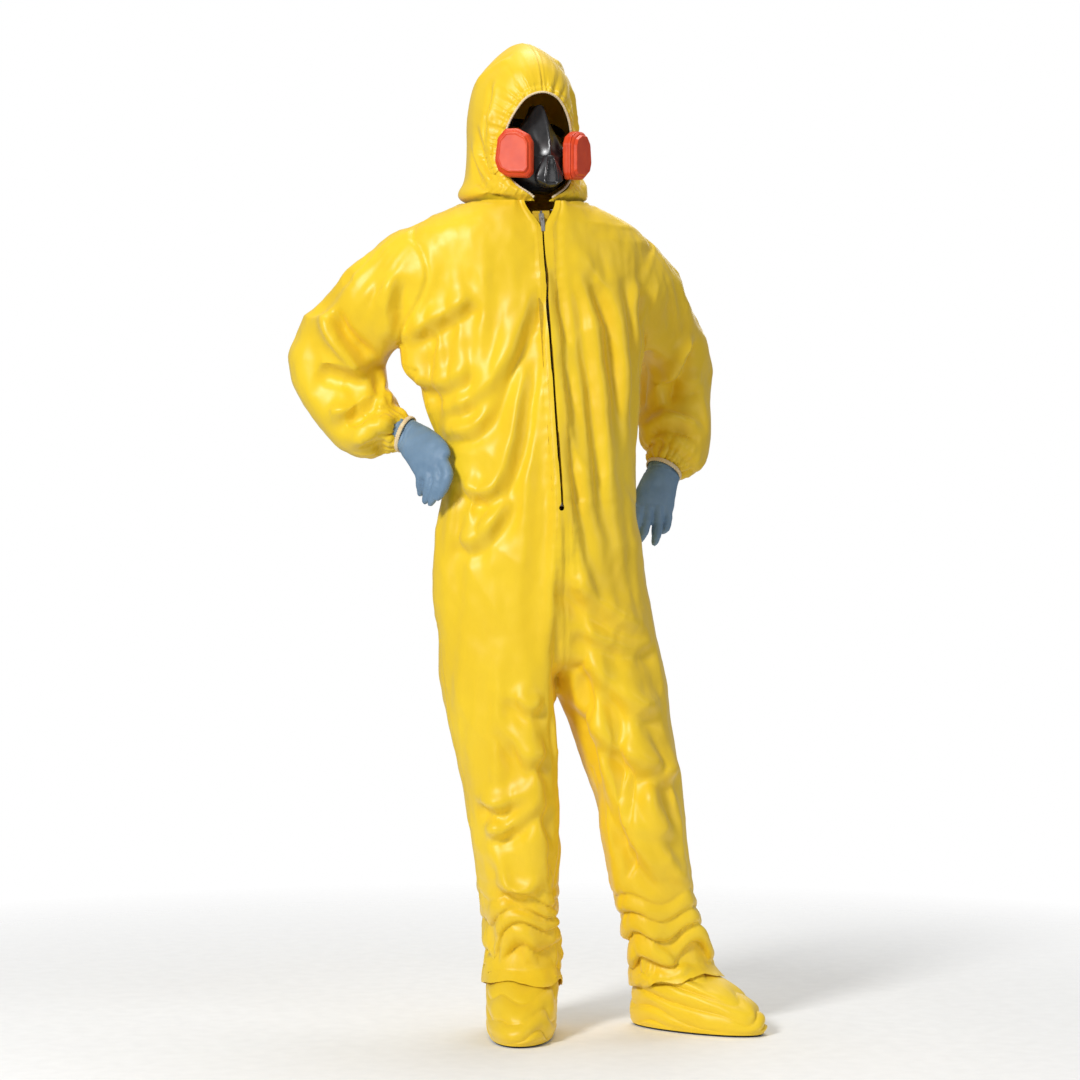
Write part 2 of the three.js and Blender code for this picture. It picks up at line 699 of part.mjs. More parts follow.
// ---------- respirator: exhalation valve ----------
addPiece("exhalation_seat", placed(ring(9.5, 13, -71, -57), exhaleShift), blackPlastic, mask);
addPiece("exhalation_flap", placed(plug(11.5, -72.2, -71.3), exhaleShift), clearSilicone, mask);
const fan = (inset) =>
  new THREE.Shape([
    new THREE.Vector2(-12 + inset, -12 - inset),
    new THREE.Vector2(-28 + inset, -58),
    new THREE.Vector2(-22 + inset, -72 + inset),
    new THREE.Vector2(22 - inset, -72 + inset),
    new THREE.Vector2(28 - inset, -58),
    new THREE.Vector2(12 - inset, -12 - inset),
  ]);
const fanBlock = (inset, front, back) =>
  solid(
    new THREE.ExtrudeGeometry(fan(inset), { depth: back - front, bevelEnabled: false })
      .rotateX(Math.PI / 2)
      .translate(0, back, 0),
  );
const exhaleCover = fanBlock(0, -84, -45)
  .subtract(fanBlock(2, -82, -40))
  .subtract(skin(faceRows, 20, gap))
  .subtract(piece(-16, 16, -80, -50, -80, -68));
addPiece("exhalation_cover", mainBody(exhaleCover), blackPlastic, mask);

// ---------- respirator: inlet ports and filter cartridges ----------
// [outward from the mask, up] for the left cartridge; its inner edge stands upright beside the mask.
const cartridgeOutline = [
  [-34, 20],
  [-27, 34],
  [-7, 45],
  [16, 45],
  [31, 28],
  [36, -14],
  [29, -33],
  [13, -43],
  [-26, -45],
  [-34, -36],
];
function cartridgeBlock(sign, inset, y0, y1) {
  const share = 1 - inset / 38;
  const points = cartridgeOutline.map(([s, z]) => new THREE.Vector2(s * share * sign, z * share));
  return solid(
    new THREE.ExtrudeGeometry(new THREE.Shape(points), { depth: y1 - y0, bevelEnabled: false })
      .rotateX(Math.PI / 2)
      .translate(0, y1, 0),
  );
}
// The same outline, drawn in towards its outer end like the edge of a moulded lid.
function cartridgeLid(sign, inset0, inset1, y0, y1) {
  const block = cartridgeBlock(sign, 0, 0, 1);
  return block.warp((v) => {
    const share = 1 - THREE.MathUtils.lerp(inset0, inset1, v[1]) / 38;
    v[0] *= share;
    v[2] *= share;
    v[1] = THREE.MathUtils.lerp(y0, y1, v[1]);
  });
}
for (const { side, sign, frame } of portFrames) {
  const port = ring(portRadius - 3, portRadius, shellBack + 2.6, shellBack + 24);
  addPiece(`${side}_inhalation_port`, port, blackPlastic, frame);
  const flap = plug(portRadius - 3.6, shellBack + 12, shellBack + 12.8);
  addPiece(`${side}_inhalation_flap`, flap, clearSilicone, frame);
  addPiece(
    `${side}_cartridge_gasket`,
    ring(12.5, 17.5, shellBack + gap, shellBack + 2.3),
    blackRubber,
    frame,
  );
  const inlets = [-12, 0, 12].map((z) =>
    solid(sideBox(sign, 18, 30, shellBack - 4, shellBack + 2, z - 2.2, z + 2.2)),
  );
  const shell = cartridgeBlock(sign, 0, -2, shellBack)
    .subtract(cartridgeBlock(sign, 2, -6, shellBack - 2.5))
    .subtract(plug(11, 0, shellBack + 4))
    .subtract(union(...inlets));
  addPiece(`${side}_cartridge_shell`, shell, orangePlastic, frame);
  addPiece(`${side}_carbon_bed`, cartridgeBlock(sign, 2.6, -1.8, shellBack - 3), carbonGranules, frame);
  const lid = cartridgeLid(sign, 5, 1, -7.4, -2.3)
    .add(cartridgeLid(sign, 9, 6.5, -13, -7.3))
    .subtract(cartridgeBlock(sign, 10, -11, 0));
  addPiece(`${side}_cartridge_cover`, lid, orangePlastic, frame);
}

// ---------- respirator: head harness ----------
const strapPath = (sign, points) =>
  new THREE.CatmullRomCurve3(points.map(([x, y, z]) => new THREE.Vector3(x * sign, y, z)));
for (const [side, sign] of sides) {
  const upper = strapPath(sign, [
    [58, -58, 12],
    [76, -20, 26],
    [76, 36, 46],
    [48, 84, 60],
    [14.5, 98, 64],
  ]);
  addPiece(`${side}_upper_strap`, along(ribbon(15, 1.5), upper, 12), blackWebbing, head);
  const lower = strapPath(sign, [
    [60, -56, -40],
    [78, -16, -52],
    [74, 38, -62],
    [46, 82, -68],
    [18.5, 94, -70],
  ]);
  addPiece(`${side}_lower_strap`, along(ribbon(12, 1.5), lower, 12), blackWebbing, head);
}
const cradle = piece(-13, 13, 97, 100, 50, 78).subtract(
  union(piece(-10, -7, 90, 110, 56, 72), piece(7, 10, 90, 110, 56, 72)),
);
addPiece("head_cradle", cradle, blackPlastic, head);
const eye = piece(2, 17, 93, 96, -78, -62).subtract(piece(4.5, 10, 90, 100, -74, -66));
addPiece("neck_clasp_eye", eye, blackPlastic, head);
const hook = union(
  piece(-17, -1.5, 93, 96, -78, -62),
  piece(-3, 9, 97, 99.5, -73, -67),
  piece(-3, -1.5, 95, 99.5, -73, -67),
  piece(5.5, 9, 93, 98, -73, -67),
);
addPiece("neck_clasp_hook", hook, blackPlastic, head);

// ---------- origin: under the middle of the suit's bounding box ----------
suit.updateMatrixWorld(true);
const extent = new THREE.Box3().setFromObject(suit, true);
const middle = extent.getCenter(new THREE.Vector3());
suit.position.set(-middle.x, -middle.y, -extent.min.z);

export default suit;
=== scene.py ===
# Chemical protective suit in its worn stance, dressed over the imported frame.
import bpy
import bmesh
import math
import numpy as np
from mathutils import Matrix, Vector, noise
from mathutils.bvhtree import BVHTree


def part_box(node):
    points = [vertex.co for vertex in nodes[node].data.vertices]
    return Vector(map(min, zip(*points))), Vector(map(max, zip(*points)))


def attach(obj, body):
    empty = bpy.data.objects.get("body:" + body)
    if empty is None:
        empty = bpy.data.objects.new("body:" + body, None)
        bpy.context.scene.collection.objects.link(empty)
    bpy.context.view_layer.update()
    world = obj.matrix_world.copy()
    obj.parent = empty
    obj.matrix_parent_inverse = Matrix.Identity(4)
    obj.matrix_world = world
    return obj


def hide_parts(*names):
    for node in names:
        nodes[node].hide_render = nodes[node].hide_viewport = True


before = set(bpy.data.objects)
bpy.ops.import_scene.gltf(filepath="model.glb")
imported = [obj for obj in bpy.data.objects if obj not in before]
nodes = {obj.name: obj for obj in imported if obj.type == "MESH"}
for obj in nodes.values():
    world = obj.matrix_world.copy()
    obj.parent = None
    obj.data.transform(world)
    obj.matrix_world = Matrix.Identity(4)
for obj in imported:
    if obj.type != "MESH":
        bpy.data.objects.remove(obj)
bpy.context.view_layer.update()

# The tables below are drawn round the point on the floor under the neck, which stands this far
# from the middle of the right sole.
soleLow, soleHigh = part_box("right_sole")
soleOffset = Vector((0.0170, 0.0502, 0))
origin = Vector(((soleLow[0] + soleHigh[0]) / 2, (soleLow[1] + soleHigh[1]) / 2, soleLow[2]))
origin = origin + soleOffset
scene = bpy.context.scene


def report(stage):
    print("suit:", stage)


# small helpers
def addObject(name, mesh):
    obj = bpy.data.objects.new(name, mesh)
    scene.collection.objects.link(obj)
    return obj


def meshFrom(name, points, faces):
    mesh = bpy.data.meshes.new(name)
    mesh.from_pydata([tuple(p) for p in points], [], faces)
    mesh.update()
    return mesh


def points(mesh):
    flat = np.empty(len(mesh.vertices) * 3, dtype=np.float64)
    mesh.vertices.foreach_get("co", flat)
    return flat.reshape(-1, 3)


def setPoints(mesh, array):
    mesh.vertices.foreach_set("co", np.ascontiguousarray(array, dtype=np.float64).ravel())
    mesh.update()


def normals(mesh):
    flat = np.empty(len(mesh.vertices) * 3, dtype=np.float64)
    mesh.vertices.foreach_get("normal", flat)
    return flat.reshape(-1, 3)


def applied(obj):
    # the object's shape with its modifiers, as its own mesh
    depsgraph = bpy.context.evaluated_depsgraph_get()
    mesh = bpy.data.meshes.new_from_object(obj.evaluated_get(depsgraph))
    old = obj.data
    obj.modifiers.clear()
    obj.data = mesh
    bpy.data.meshes.remove(old)
    return obj


def facingOut(mesh):
    bm = bmesh.new()
    bm.from_mesh(mesh)
    bmesh.ops.recalc_face_normals(bm, faces=bm.faces)
    bm.to_mesh(mesh)
    bm.free()
    return mesh


def smoothStep(low, high, value):
    t = np.clip((value - low) / (high - low), 0, 1)
    return t * t * (3 - 2 * t)


def throughRows(table, count):
    # Catmull-Rom through the rows of a table, evenly in row number
    table = np.array(table, dtype=float)
    padded = np.vstack([2 * table[0] - table[1], table, 2 * table[-1] - table[-2]])
    out = []
    for s in np.linspace(0, len(table) - 1, count):
        i = min(int(s), len(table) - 2)
        t = s - i
        a, b, c, d = padded[i:i + 4]
        square = (2 * a - 5 * b + 4 * c - d) * t * t
        cube = (3 * b - a - 3 * c + d) * t ** 3
        out.append(0.5 * (2 * b + (c - a) * t + square + cube))
    return np.array(out)


def tubeMesh(name, rings, closed=True):
    # rings all have the same number of points; closed tubes get a fan at each end
    rings = np.array(rings)
    count, sides = rings.shape[:2]
    verts = list(rings.reshape(-1, 3))
    faces = []
    for i in range(count - 1):
        for j in range(sides):
            k = (j + 1) % sides
            faces.append((i * sides + j, i * sides + k, (i + 1) * sides + k, (i + 1) * sides + j))
    if closed:
        for ring, flip in ((0, False), (count - 1, True)):
            middle = len(verts)
            verts.append(rings[ring].mean(axis=0))
            for j in range(sides):
                k = (j + 1) % sides
                a, b = ring * sides + j, ring * sides + k
                faces.append((middle, a, b) if flip else (middle, b, a))
    return meshFrom(name, verts, faces)


def superEllipse(sides, power):
    turn = np.linspace(0, 2 * math.pi, sides, endpoint=False)
    c, s = np.cos(turn), np.sin(turn)
    return np.sign(s) * np.abs(s) ** (2 / power), np.sign(c) * np.abs(c) ** (2 / power)


# the worn shape, from which every cloth piece starts
shape = {
    "zipTop": (0.007, -0.110, 1.530),
    "zipEnd": (0.036, -0.158, 0.982),
    "neckHeight": 1.548,
    # height, x, half-width, back, front (None: on the zip)
    "torso": [
        (1.560, 0.000, 0.108, 0.104, None), (1.548, 0.000, 0.112, 0.108, None),
        (1.530, 0.001, 0.154, 0.108, None),
        (1.508, 0.002, 0.204, 0.110, None), (1.480, 0.003, 0.230, 0.116, None),
        (1.440, 0.002, 0.236, 0.124, None),
        (1.370, -0.002, 0.234, 0.134, None), (1.290, -0.006, 0.230, 0.136, None),
        (1.200, 0.012, 0.208, 0.130, None),
        (1.090, 0.028, 0.180, 0.122, None), (0.982, 0.014, 0.192, 0.130, None),
        (0.883, 0.021, 0.206, 0.140, -0.158),
        (0.790, 0.040, 0.216, 0.138, -0.150), (0.735, 0.052, 0.186, 0.118, -0.128),
        (0.700, 0.060, 0.106, 0.070, -0.084),
    ],
    # height, x, y, half-width, half-depth
    "rightLeg": [
        (0.806, -0.060, 0.000, 0.096, 0.116), (0.690, -0.056, -0.002, 0.111, 0.118),
        (0.570, -0.042, -0.012, 0.103, 0.108),
        (0.467, -0.030, -0.018, 0.094, 0.098), (0.350, -0.014, -0.008, 0.088, 0.092),
        (0.249, -0.006, 0.002, 0.079, 0.084),
        (0.170, 0.000, 0.008, 0.073, 0.078), (0.118, 0.000, 0.008, 0.076, 0.084),
    ],
    "leftLeg": [
        (0.806, 0.150, 0.000, 0.094, 0.116), (0.690, 0.172, -0.005, 0.108, 0.118),
        (0.620, 0.184, -0.014, 0.101, 0.112),
        (0.453, 0.217, -0.038, 0.093, 0.098), (0.300, 0.245, -0.025, 0.084, 0.090),
        (0.170, 0.282, -0.006, 0.078, 0.082),
        (0.118, 0.286, -0.004, 0.082, 0.088),
    ],
    # x, y, z, radius in the bend's plane, radius across it
    "rightSleeve": [
        (-0.150, 0.008, 1.425, 0.102, 0.086), (-0.232, 0.028, 1.402, 0.096, 0.086),
        (-0.298, 0.076, 1.346, 0.084, 0.082),
        (-0.348, 0.118, 1.268, 0.082, 0.078), (-0.306, 0.092, 1.176, 0.076, 0.072),
        (-0.266, 0.063, 1.140, 0.068, 0.060),
        (-0.224, 0.036, 1.120, 0.0350, 0.0350),
    ],
    "leftSleeve": [
        (0.150, 0.008, 1.428, 0.102, 0.086), (0.228, 0.040, 1.398, 0.092, 0.084),
        (0.290, 0.104, 1.338, 0.076, 0.076),
        (0.332, 0.160, 1.258, 0.072, 0.072), (0.331, 0.148, 1.168, 0.068, 0.068),
        (0.320, 0.120, 1.096, 0.064, 0.062),
        (0.296, 0.102, 1.056, 0.0355, 0.0355),
    ],
    "sides": 96,
}
zipTop = np.array(shape["zipTop"])
zipEnd = np.array(shape["zipEnd"])


def zipAt(z):
    share = (zipTop[2] - z) / (zipTop[2] - zipEnd[2])
    return zipTop + (zipEnd - zipTop) * share


def torsoRings(scaleOf=lambda z: 1.0, sides=96):
    filled = []
    for z, x, wide, back, front in shape["torso"]:
        onZip = zipAt(z)
        frontY = onZip[1] if front is None else front
        shear = (onZip[0] if front is None else min(0.060, onZip[0] + 0.006)) - x
        filled.append((z, x, (back + frontY) / 2, wide, (back - frontY) / 2, shear))
    across, forward = superEllipse(sides, 2.15)
    rings = []
    for z, x, y, wide, deep, shear in throughRows(filled, 90):
        k = scaleOf(z)
        ring = np.empty((sides, 3))
        ring[:, 0] = x + across * wide * k + shear * np.maximum(0, forward)
        ring[:, 1] = y - forward * deep * k
        ring[:, 2] = z
        rings.append(ring)
    return rings


def legRings(table, scaleOf=lambda z: 1.0, sides=64):
    across, forward = superEllipse(sides, 2.1)
    rings = []
    for z, x, y, wide, deep in throughRows(table, 60):
        k = scaleOf(z)
        ring = np.empty((sides, 3))
        ring[:, 0] = x + across * wide * k
        ring[:, 1] = y - forward * deep * k
        ring[:, 2] = z
        rings.append(ring)
    return rings


def limbFrames(table, count):
    rows = throughRows(table, count)
    spine = rows[:, :3]
    run = np.gradient(spine, axis=0)
    run /= np.linalg.norm(run, axis=1)[:, None]
    bend = np.cross(spine[count // 2] - spine[0], spine[-1] - spine[count // 2])
    bend /= np.linalg.norm(bend)
    across = bend - run * (run @ bend)[:, None]
    across /= np.linalg.norm(across, axis=1)[:, None]
    return spine, run, across, np.cross(run, across), rows[:, 3], rows[:, 4]


def limbRings(table, scaleOf=lambda t: 1.0, sides=56, count=50):
    spine, _, across, deep, inPlane, offPlane = limbFrames(table, count)
    turn = np.linspace(0, 2 * math.pi, sides, endpoint=False)
    rings = []
    for i in range(count):
        k = scaleOf(i / (count - 1))
        wide = np.outer(np.sin(turn) * offPlane[i] * k, across[i])
        tall = np.outer(np.cos(turn) * inPlane[i] * k, deep[i])
        rings.append(spine[i] + wide + tall)
    return rings


def joined(name, meshes):
    bm = bmesh.new()
    for mesh in meshes:
        bm.from_mesh(mesh)
        bpy.data.meshes.remove(mesh)
    mesh = bpy.data.meshes.new(name)
    bm.to_mesh(mesh)
    bm.free()
    return mesh


def remeshed(obj, size):
    remesh = obj.modifiers.new("remesh", "REMESH")
    remesh.mode = "VOXEL"
    remesh.voxel_size = size
    return applied(obj)


def relaxed(mesh, rounds, factor=0.5):
    # even out a mesh by moving each vertex towards the mean of its neighbours
    verts = points(mesh)
    edges = np.empty(len(mesh.edges) * 2, dtype=np.int64)
    mesh.edges.foreach_get("vertices", edges)
    edges = edges.reshape(-1, 2)
    count = np.bincount(edges.ravel(), minlength=len(verts)).astype(float)
    for _ in range(rounds):
        total = np.zeros_like(verts)
        for axis in range(3):
            forth = np.bincount(edges[:, 0], verts[edges[:, 1], axis], len(verts))
            back = np.bincount(edges[:, 1], verts[edges[:, 0], axis], len(verts))
            total[:, axis] = forth + back
        verts += (total / count[:, None] - verts) * factor
    setPoints(mesh, verts)


def bodyBlank(voxel):
    blank = addObject(
        "coverall blank",
        joined(
            "coverall blank",
            [
                tubeMesh("torso", torsoRings()),
                tubeMesh("right leg", legRings(shape["rightLeg"])),
                tubeMesh("left leg", legRings(shape["leftLeg"])),
                tubeMesh("right sleeve", limbRings(shape["rightSleeve"])),
                tubeMesh("left sleeve", limbRings(shape["leftSleeve"])),
            ],
        ),
    )
    remeshed(blank, voxel)
    relaxed(blank.data, 6)
    return blank


def armOf(share):
    # a slim arm that fills the sleeve only at the shoulder and the elbow
    return 0.97 - 0.35 * min(1, share * 2.2) + 0.30 * math.exp(-(((share - 0.5) / 0.1) ** 2))


def formTrunk(z):
    # full at the shoulders, slimmer below the armpits
    return 0.97 if z > 1.47 else 0.84 + 0.13 * max(0, (z - 1.3) / 0.17)


def formLeg(z):
    return 0.70 + 0.1 * (z > 0.5)


def wearingForm():
    # a slimmer form for the cloth to rest on while it is draped; it is taken away afterwards
    form = addObject(
        "wearing form",
        joined(
            "wearing form",
            [
                tubeMesh("torso", torsoRings(formTrunk)),
                tubeMesh("right leg", legRings(shape["rightLeg"], formLeg)),
                tubeMesh("left leg", legRings(shape["leftLeg"], formLeg)),
                tubeMesh("right arm", limbRings(shape["rightSleeve"], armOf)),
                tubeMesh("left arm", limbRings(shape["leftSleeve"], armOf)),
            ],
        ),
    )
    remeshed(form, 0.012)
    relaxed(form.data, 8)
    return form


def cutAway(mesh, at, away, radius):
    # remove what lies beyond a plane, only within a radius of its point
    bm = bmesh.new()
    bm.from_mesh(mesh)
    at = Vector(at)
    near = [v for v in bm.verts if (v.co - at).length < radius]
    faces = list({f for v in near for f in v.link_faces})
    edges = list({e for f in faces for e in f.edges})
    verts = list({v for f in faces for v in f.verts})
    bmesh.ops.bisect_plane(
        bm, geom=verts + edges + faces, dist=1e-5, plane_co=at, plane_no=Vector(away),
        clear_outer=True
    )
    bm.to_mesh(mesh)
    bm.free()


def sleeveEnd(table):
    spine, run, _, _, _, _ = limbFrames(table, 50)
    return spine[-1], run[-1]


# draping
drape = {
    "voxel": 0.0086,
    "frames": 30,
    "clearance": 0.003,
    "tension": 12,
    "bending": 9,
    "gravity": 0.5,
    "heights": [0.0, 0.10, 0.26, 0.36, 0.45, 0.56, 0.72, 0.9, 1.0, 1.12, 1.3, 1.5, 1.9],
    "spareLength": [0.26, 0.26, 0.20, 0.08, 0.10, 0.05, 0.04, 0.03, 0.04, 0.06, 0.05, 0.01, 0.01],
    "sleeveSpare": 0.17,
    "sleeveTwist": 24,
    "leftLegTwist": -13,
    "rightLegTwist": 10,
    "chestShear": 0.07,
    "sleeveGirth": 0.06,
}


def restShape(verts):
    # the cloth is cut larger than the space it hangs in, most of all at the ankles and sleeves
    out = verts.copy()
    z = verts[:, 2]
    fine = np.linspace(0, 1.9, 400)
    stretch = 1 + np.interp(fine, drape["heights"], drape["spareLength"])
    risen = np.concatenate([[0], np.cumsum((stretch[1:] + stretch[:-1]) / 2 * np.diff(fine))])
    out[:, 2] = np.interp(z, fine, risen)
    girth = np.interp(z, [0.0, 0.75, 0.95, 1.9], [1.03, 1.03, 1.06, 1.06])[:, None]
    out[:, :2] = verts[:, :2] * girth
    # the chest is cut wider towards the armholes, so folds run up to them
    side = verts[:, 0] - 0.005
    trunk = smoothStep(0.92, 1.02, z) * smoothStep(1.53, 1.45, z)
    out[:, 0] += np.sign(side) * smoothStep(0.02, 0.12,
        np.abs(side)) * drape["chestShear"] * (z - 0.95) * trunk
    # a turn in each leg pulls the cloth into slanting folds
    for leg, sign in (("rightLeg", -1), ("leftLeg", 1)):
        rows = np.array(shape[leg])[::-1]
        mine = ((verts[:, 0] - np.interp(z, [0, 0.7], [0.135, 0.061])) * sign > 0) & (z < 0.72)
        cx, cy = np.interp(z, rows[:, 0], rows[:, 1]), np.interp(z, rows[:, 0], rows[:, 2])
        turn = np.radians(drape[leg + "Twist"]) * smoothStep(0.70, 0.20, z) * mine
        dx, dy = out[:, 0] - cx, out[:, 1] - cy
        out[:, 0] = np.where(mine, cx + dx * np.cos(turn) - dy * np.sin(turn), out[:, 0])
        out[:, 1] = np.where(mine, cy + dx * np.sin(turn) + dy * np.cos(turn), out[:, 1])
    for name in ("rightSleeve", "leftSleeve"):
        share, nearest, gap, run = alongLimb(verts, shape[name])
        start = np.array(shape[name][0][:3])
        inSleeve = (np.abs(verts[:, 0]) > 0.20) & (gap < 0.14) & (z > 1.0) & (share > 0)
        weight = (smoothStep(0.0, 0.3, share) * inSleeve)[:, None]
        off = verts - nearest
        turn = (np.radians(drape["sleeveTwist"]) * share)[:, None]
        turned = off * np.cos(turn) + np.cross(run, off) * np.sin(turn) - off
        longer = (nearest - start) * drape["sleeveSpare"] + off * drape["sleeveGirth"] + turned
        out = out * (1 - weight) + (verts + longer + (out - verts) * 0.3) * weight
    return out


def drapeCloth(cloth, form, rest, pin, settings):
    mesh = cloth.data
    group = cloth.vertex_groups.new(name="held")
    for weight in (0.35, 1.0):
        chosen = np.nonzero(pin >= weight)[0]
        group.add(chosen.tolist(), weight, "REPLACE")
    cloth.shape_key_add(name="Basis")
    key = cloth.shape_key_add(name="cut")
    key.data.foreach_set("co", rest.ravel())
    key.value = 0
    form.modifiers.new("collision", "COLLISION")
    form.collision.thickness_outer = settings["clearance"]
    form.collision.cloth_friction = 18
    modifier = cloth.modifiers.new("cloth", "CLOTH")
    hang = modifier.settings
    hang.quality = 6
    hang.mass = 0.25
    hang.air_damping = 2.0
    hang.tension_stiffness = settings["tension"]
    hang.compression_stiffness = settings["tension"]
    hang.shear_stiffness = 6
    hang.bending_stiffness = settings["bending"]
    hang.tension_damping = 6
    hang.compression_damping = 6
    hang.bending_damping = 1
    hang.vertex_group_mass = "held"
    hang.rest_shape_key = key
    hang.effector_weights.gravity = settings["gravity"]
    modifier.collision_settings.collision_quality = 2
    modifier.collision_settings.distance_min = settings["clearance"]
    modifier.point_cache.frame_start = 1
    modifier.point_cache.frame_end = settings["frames"] + 1
    for step in range(1, settings["frames"] + 1):
        scene.frame_set(step)
    depsgraph = bpy.context.evaluated_depsgraph_get()
    settled = bpy.data.meshes.new_from_object(cloth.evaluated_get(depsgraph))
    verts = points(settled)
    bpy.data.meshes.remove(settled)
    cloth.modifiers.clear()
    cloth.shape_key_clear()
    setPoints(mesh, verts)
    scene.frame_set(1)
    return verts


def torsoSection(z):
    # centre and half-sizes of the trunk at each height
    rows = []
    for height, x, wide, back, front in shape["torso"]:
        onZip = zipAt(height)
        frontY = onZip[1] if front is None else front
        rows.append((height, x, (back + frontY) / 2, wide, (back - frontY) / 2))
    rows = np.array(sorted(rows))
    return [np.interp(z, rows[:, 0], rows[:, i]) for i in range(1, 5)]


def alongLimb(verts, table):
    # the nearest point of a limb's spine to each vertex: share along it, point, distance, direction
    spine, run, _, _, _, _ = limbFrames(table, 80)
    gaps = np.linalg.norm(verts[:, None, :] - spine[None, :, :], axis=2)
    nearest = gaps.argmin(axis=1)
    return nearest / 79, spine[nearest], gaps.min(axis=1), run[nearest]


def panelField(verts):
    # signed distances that part the cloth into its panels: sleeve seams, middle seam and side seams
    x, y, z = verts.T
    cx, cy, wide, deep = torsoSection(z)
    ratio = np.sqrt(((x - cx) / wide) ** 2 + ((y - cy) / deep) ** 2)
    sleeve = np.where((z > 1.0) & (z < 1.56), (ratio - 1.04) * 0.2, -1.0)
    middleZ = [0.0, 0.700, 0.840, 0.982, 1.600]
    middleX = [0.061, 0.061, 0.046, 0.036, zipAt(1.6)[0]]
    middle = x - np.interp(z, middleZ, middleX)
    right, left = np.array(shape["rightLeg"])[::-1], np.array(shape["leftLeg"])[::-1]
    seamY = np.where(
        middle < 0, np.interp(z, [*right[:-1, 0], 0.9], [*right[:-1, 2], 0.0]),
        np.interp(z, [*left[:-1, 0], 0.9], [*left[:-1, 2], 0.0])
    )
    return sleeve, middle, y - seamY


# laid folds
def foldAlong(verts, normal, path, width, height, lean=0.0, fade=0.25):
    # a ridge with a hollow on its lower side, along a smooth line of points near the surface
    line = throughRows(path, 60)
    keep = np.nonzero((np.abs(verts - line.mean(axis=0)).max(axis=1) < 0.5))[0]
    gaps = np.linalg.norm(verts[keep][:, None, :] - line[None, :, :], axis=2)
    nearest = gaps.argmin(axis=1)
    run = np.gradient(line, axis=0)
    run /= np.linalg.norm(run, axis=1)[:, None]
    side = np.cross(run[nearest], normal[keep])
    off = ((verts[keep] - line[nearest]) * side).sum(axis=1) / width
    share = nearest / 59
    ends = smoothStep(0, fade, share) * smoothStep(0, fade, 1 - share)
    depth = np.abs(((verts[keep] - line[nearest]) * normal[keep]).sum(axis=1))
    profile = 1.35 * (np.exp(-(off ** 2)) - 0.85 * np.exp(-((off - 1.3 - lean) ** 2) / 0.7))
    verts[keep] += normal[keep] * (profile * ends * height * np.exp(-(depth / 0.06) ** 2))[:, None]


# coverall
def makeCoverall():
    cloth = bodyBlank(drape["voxel"])
    mesh = cloth.data
    cutAway(mesh, (0, 0, shape["neckHeight"]), (0, 0, 1), 0.3)
    for leg in ("rightLeg", "leftLeg"):
        z, x, y, _, _ = shape[leg][-1]
        cutAway(mesh, (x, y, z + 0.002), (0, 0, -1), 0.15)
    ends = [sleeveEnd(shape[name]) for name in ("rightSleeve", "leftSleeve")]
    for at, run in ends:
        cutAway(mesh, at - run * 0.002, run, 0.050)
    openZip(mesh)
    start = points(mesh)
    fields = panelField(start)
    held = np.zeros(len(start))
    held[(start[:, 2] > shape["neckHeight"] - 0.005) | (start[:, 2] < 0.128)] = 1
    for at, run in ends:
        near = np.linalg.norm(start - at, axis=1) < 0.052
        held[near & ((start - at) @ run > -0.012)] = 1
    onZip = np.array([zipAt(z) for z in start[:, 2]])
    beside = np.abs(start[:, 0] - onZip[:, 0]) < 0.011
    held[beside & (start[:, 1] < -0.08) & (start[:, 2] > 0.96)] = 1
    form = wearingForm()
    drapeCloth(cloth, form, restShape(start), held, drape)
    bpy.data.objects.remove(form)
    return cloth, fields


def openZip(mesh):
    # a clean slot down the front, between the two edges of the zip
    bm = bmesh.new()
    bm.from_mesh(mesh)
    slope = (zipEnd[0] - zipTop[0]) / (zipEnd[2] - zipTop[2])
    flat = Vector((1, 0, -slope)).normalized()
    for sign in (-1, 1):
        chosen = [f for f in bm.faces if f.calc_center_median().y < -0.06
            and f.calc_center_median().z > zipEnd[2]]
        verts = list({v for f in chosen for v in f.verts})
        edges = list({e for f in chosen for e in f.edges})
        at = Vector(zipTop) + flat * sign * 0.0014
        bmesh.ops.bisect_plane(bm, geom=verts + edges + chosen, dist=1e-5, plane_co=at,
            plane_no=flat)
    slot = []
    for f in bm.faces:
        middle = f.calc_center_median()
        aside = abs((middle - Vector(zipTop)).dot(flat))
        if middle.y < -0.06 and middle.z > zipEnd[2] - 0.004 and aside < 0.00135:
            slot.append(f)
    bmesh.ops.delete(bm, geom=slot, context="FACES")
    bm.to_mesh(mesh)
    bm.free()


def storeField(mesh, name, values):
    attribute = mesh.attributes.new(name, "FLOAT", "POINT")
    attribute.data.foreach_set("value", np.ascontiguousarray(values, dtype=np.float32))


def takeField(mesh, name):
    attribute = mesh.attributes[name]
    values = np.empty(len(mesh.vertices), dtype=np.float32)
    attribute.data.foreach_get("value", values)
    mesh.attributes.remove(mesh.attributes[name])
    return values.astype(float)


def subdivided(obj, levels=1):
    modifier = obj.modifiers.new("smooth", "SUBSURF")
    modifier.levels = modifier.render_levels = levels
    return applied(obj)


def facesOf(mesh):
    return [tuple(p.vertices) for p in mesh.polygons]


